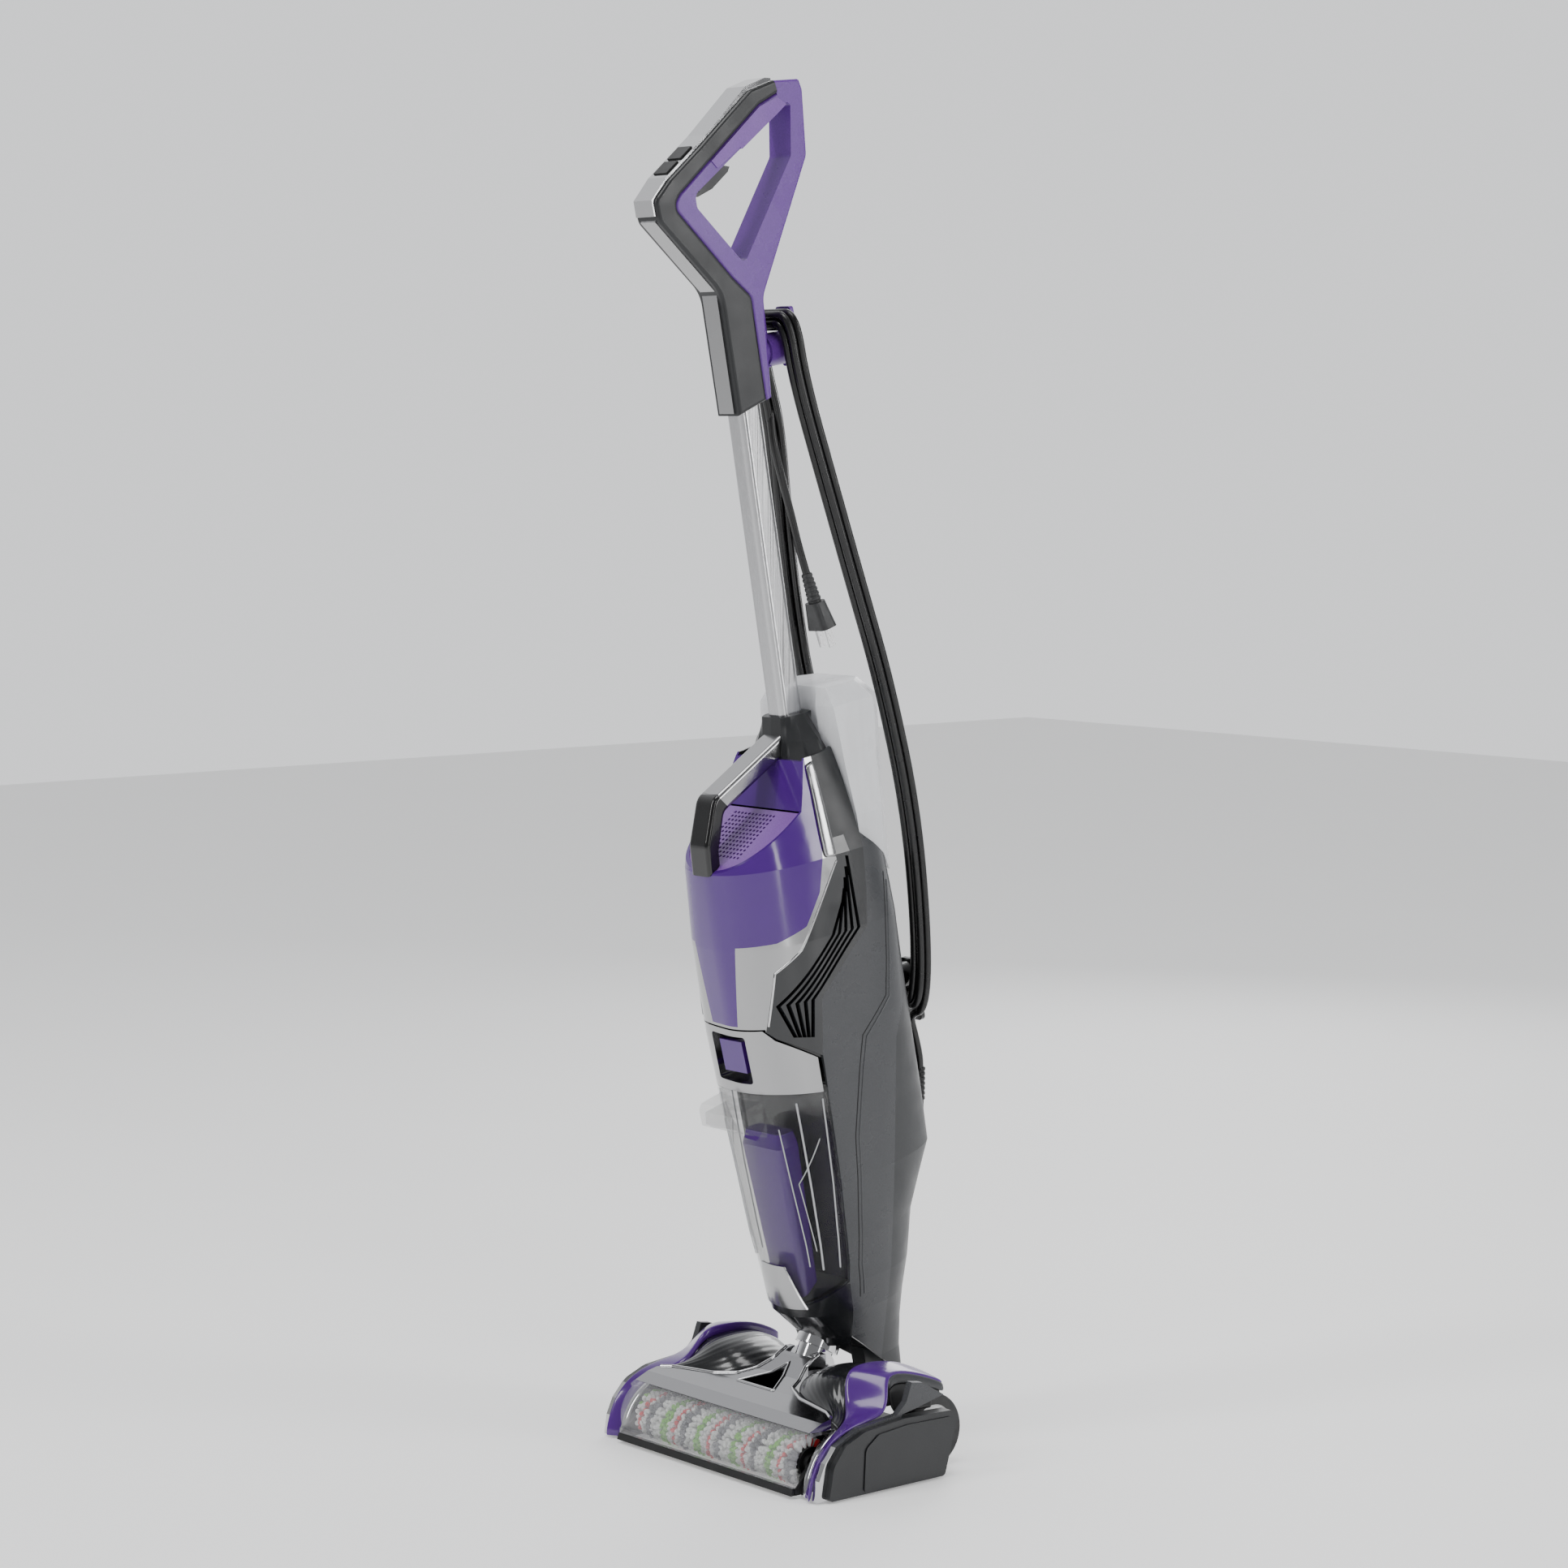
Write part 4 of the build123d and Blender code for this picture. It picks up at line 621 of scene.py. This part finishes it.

# bright bead along the front of the vents, and pale beads on the clear tank that are painted highlight
# streaks
VENT_EDGE = [(-20.5, 530), (-68, 464), (-90, 448.5), (-98, 404)]
# paths and radii of the painted highlight streaks on the clear tank
TANK_HIGHLIGHTS = [([(-66, 334), (-64, 182)], 0.0007), ([(-86, 334), (-76, 182)], 0.0009),
              ([(-97, 312), (-84, 186)], 0.0006), ([(-72, 300), (-88, 262), (-80, 200)], 0.0005)]
for side, name in ((1, "right"), (-1, "left")):
    for title, names, body, outlines, material in (
            ("vent_edge", ("side_vents", "front_panel"), "upright", [(VENT_EDGE, 0.0011)], chrome),
            ("tank_highlight_streak", ("dirty_tank",), "dirty_tank", TANK_HIGHLIGHTS, tank_highlight_paint)):
        tree = surface(*names)
        for number, (outline, radius) in enumerate(outlines):
            points = []
            for place in between([at(0, v, w) for v, w in outline], 0.004):
                hit = dropped(tree, place + Vector((side * 0.05, 0, 0)), (-side, 0, 0))
                if hit:
                    points.append(hit - Vector((side * 0.0003, 0, 0)))
            if len(points) > 3:
                line_piece(f"{title}_{name}_{number}", body, points, radius, material)

# chromed edges of the suction duct
duct = surface("suction_duct")
DUCT_EDGE = [(114, 46), (103, 51.5), (59, 59.5), (36, 70), (21.5, 97), (21.5, 112)]
for side, name in ((1, "right"), (-1, "left")):
    points = []
    for place in between([foot_at(side * x, y, 60) for x, y in DUCT_EDGE], 0.003):
        hit = dropped(duct, place + Vector((0, 0, 0.1)), (0, 0, -1))
        if hit:
            points.append(hit)
    line_piece(f"duct_edge_{name}", "foot", points, 0.0016, chrome)
HOLE_EDGE = [(-24, 59), (24, 59), (0, 97.5)]
points = []
for place in between([foot_at(x, y, 60) for x, y in HOLE_EDGE + HOLE_EDGE[:1]], 0.003):
    hit = dropped(duct, place + Vector((0, 0, 0.1)), (0, 0, -1))
    if hit and (not points or (hit - points[-1]).length > 0.0005):
        points.append(hit)
line_piece("duct_hole_edge", "foot", points, 0.0013, chrome)


# ---------------------------------------------------------------- strain relief and plug
def ribbed_sleeve(name, start, end, radii, ribs, material, sides=20):
    """Tapered sleeve with grooves round it, from one point to another."""
    start, end = Vector(start), Vector(end)
    axis = (end - start).normalized()
    across = axis.orthogonal().normalized()
    other = axis.cross(across)
    rings = []
    for rib in range(ribs):
        for share, groove in ((0.0, 0.0006), (0.18, 0.0), (0.62, 0.0), (0.8, 0.0006)):
            rings.append(((rib + share) / ribs, groove))
    vertices, faces = [], []
    for share, groove in rings:
        radius = radii[0] + (radii[1] - radii[0]) * share - groove
        for corner in range(sides):
            turn = 2 * pi * corner / sides
            vertices.append(start.lerp(end, share) + (across * cos(turn) + other * sin(turn)) * radius)
    for ring in range(len(rings) - 1):
        for corner in range(sides):
            a, b = ring * sides + corner, ring * sides + (corner + 1) % sides
            faces.append((a, b, b + sides, a + sides))
    faces.append(tuple(reversed(range(sides))))
    faces.append(tuple(len(vertices) - sides + corner for corner in range(sides)))
    return piece(name, "upright", vertices, faces, material)


plug_top, plug_before = at(*TAIL[-1]), at(*TAIL[-2])
plug_line = (plug_top - plug_before).normalized()
plug_relief = ribbed_sleeve("plug_strain_relief", plug_top - plug_line * 0.004, plug_top + plug_line * 0.021,
                            (0.0048, 0.0064), 6, plug_rubber)
gland_line = (at(*LEAD[1]) - at(*LEAD[0])).normalized()
gland_relief = ribbed_sleeve("cord_strain_relief", at(*GLAND_EXIT) - gland_line * 0.004,
                             at(*GLAND_EXIT) + gland_line * 0.026, (0.0056, 0.0041), 7, cord_rubber)

# ---------------------------------------------------------------- shading of the CAD nodes
BEVELLED = [
    "collar", "carry_handle", "carry_grip", "handle_loop", "soft_grip", "trigger", "mode_button_lower",
    "mode_button_upper", "upper_hook", "lower_hook", "plug_body", "plug_blades", "side_panel_left",
    "side_panel_right", "foot_base", "suction_duct", "wheel_hub_left", "wheel_hub_right", "tyre_left",
    "tyre_right", "release_button", "clean_tank_cap", "neck_yoke", "handle_strip",
]
for name in BEVELLED:
    edge = nodes[name].modifiers.new("edge", "BEVEL")
    edge.width = 0.0005
    edge.segments = 2
    edge.limit_method = "ANGLE"
    edge.angle_limit = radians(35)
    edge.harden_normals = True

# ---------------------------------------------------------------- studio
def area_light(name, place, target, size, power):
    data = bpy.data.lights.new(name, "AREA")
    data.shape = "RECTANGLE"
    data.size, data.size_y = size
    data.energy = power
    light = bpy.data.objects.new(name, data)
    light.location = place
    light.rotation_euler = (Vector(target) - Vector(place)).to_track_quat("-Z", "Y").to_euler()
    bpy.context.scene.collection.objects.link(light)


LIGHTS = {                  # place, what it points at, width and height, watts
    "key": ((-0.6, -2.8, 2.2), (0, 0, 0.6), (0.5, 2.2), 42),
    "rim": ((2.4, 1.4, 1.5), (0, 0, 0.6), (0.5, 2.4), 34),
    "side": ((2.9, -0.7, 1.1), (0, 0, 0.5), (0.22, 2.2), 13),
    "back": ((-1.4, 2.0, 1.6), (0, 0, 0.7), (0.8, 2.0), 18),
    "top": ((0.3, -0.5, 3.2), (0, 0, 0), (1.4, 1.4), 38),
}
for name, settings in LIGHTS.items():
    area_light(name, *settings)

# the world is pale behind the machine and darker in front of it, which gives metal its contrast
BACKDROP = (-0.766, 0.643, 0.0)
world = bpy.data.worlds.new("studio")
world.use_nodes = True
world_nodes, world_links = world.node_tree.nodes, world.node_tree.links
background = world_nodes["Background"]
background.inputs["Color"].default_value = (0.95, 0.96, 0.98, 1)
direction = world_nodes.new("ShaderNodeTexCoord")
towards = world_nodes.new("ShaderNodeVectorMath")
towards.operation = "DOT_PRODUCT"
towards.inputs[1].default_value = BACKDROP
world_links.new(direction.outputs["Generated"], towards.inputs[0])
paleness = world_nodes.new("ShaderNodeMapRange")
paleness.interpolation_type = "SMOOTHSTEP"
paleness.inputs["From Min"].default_value = 0.0
paleness.inputs["From Max"].default_value = 0.75
paleness.inputs["To Min"].default_value = 0.3
paleness.inputs["To Max"].default_value = 1.15
world_links.new(towards.outputs["Value"], paleness.inputs["Value"])
world_links.new(paleness.outputs["Result"], background.inputs["Strength"])
bpy.context.scene.world = world

FLOOR_HALF = 6.0
floor_mesh = bpy.data.meshes.new("floor")
corners = [(-FLOOR_HALF, -FLOOR_HALF, 0), (FLOOR_HALF, -FLOOR_HALF, 0), (FLOOR_HALF, FLOOR_HALF, 0),
           (-FLOOR_HALF, FLOOR_HALF, 0)]
floor_mesh.from_pydata(corners, [], [(0, 1, 2, 3)])
floor = bpy.data.objects.new("floor", floor_mesh)
bpy.context.scene.collection.objects.link(floor)
floor_paint = Material("pale_floor", (0.9, 0.9, 0.9), 0.6, Emission_Color=(1, 1, 1, 1),
                       Emission_Strength=0.3)
floor_paint.tint(floor_paint.noise(3, 2), 0.99, 1.01)
floor_mesh.materials.append(floor_paint.material)
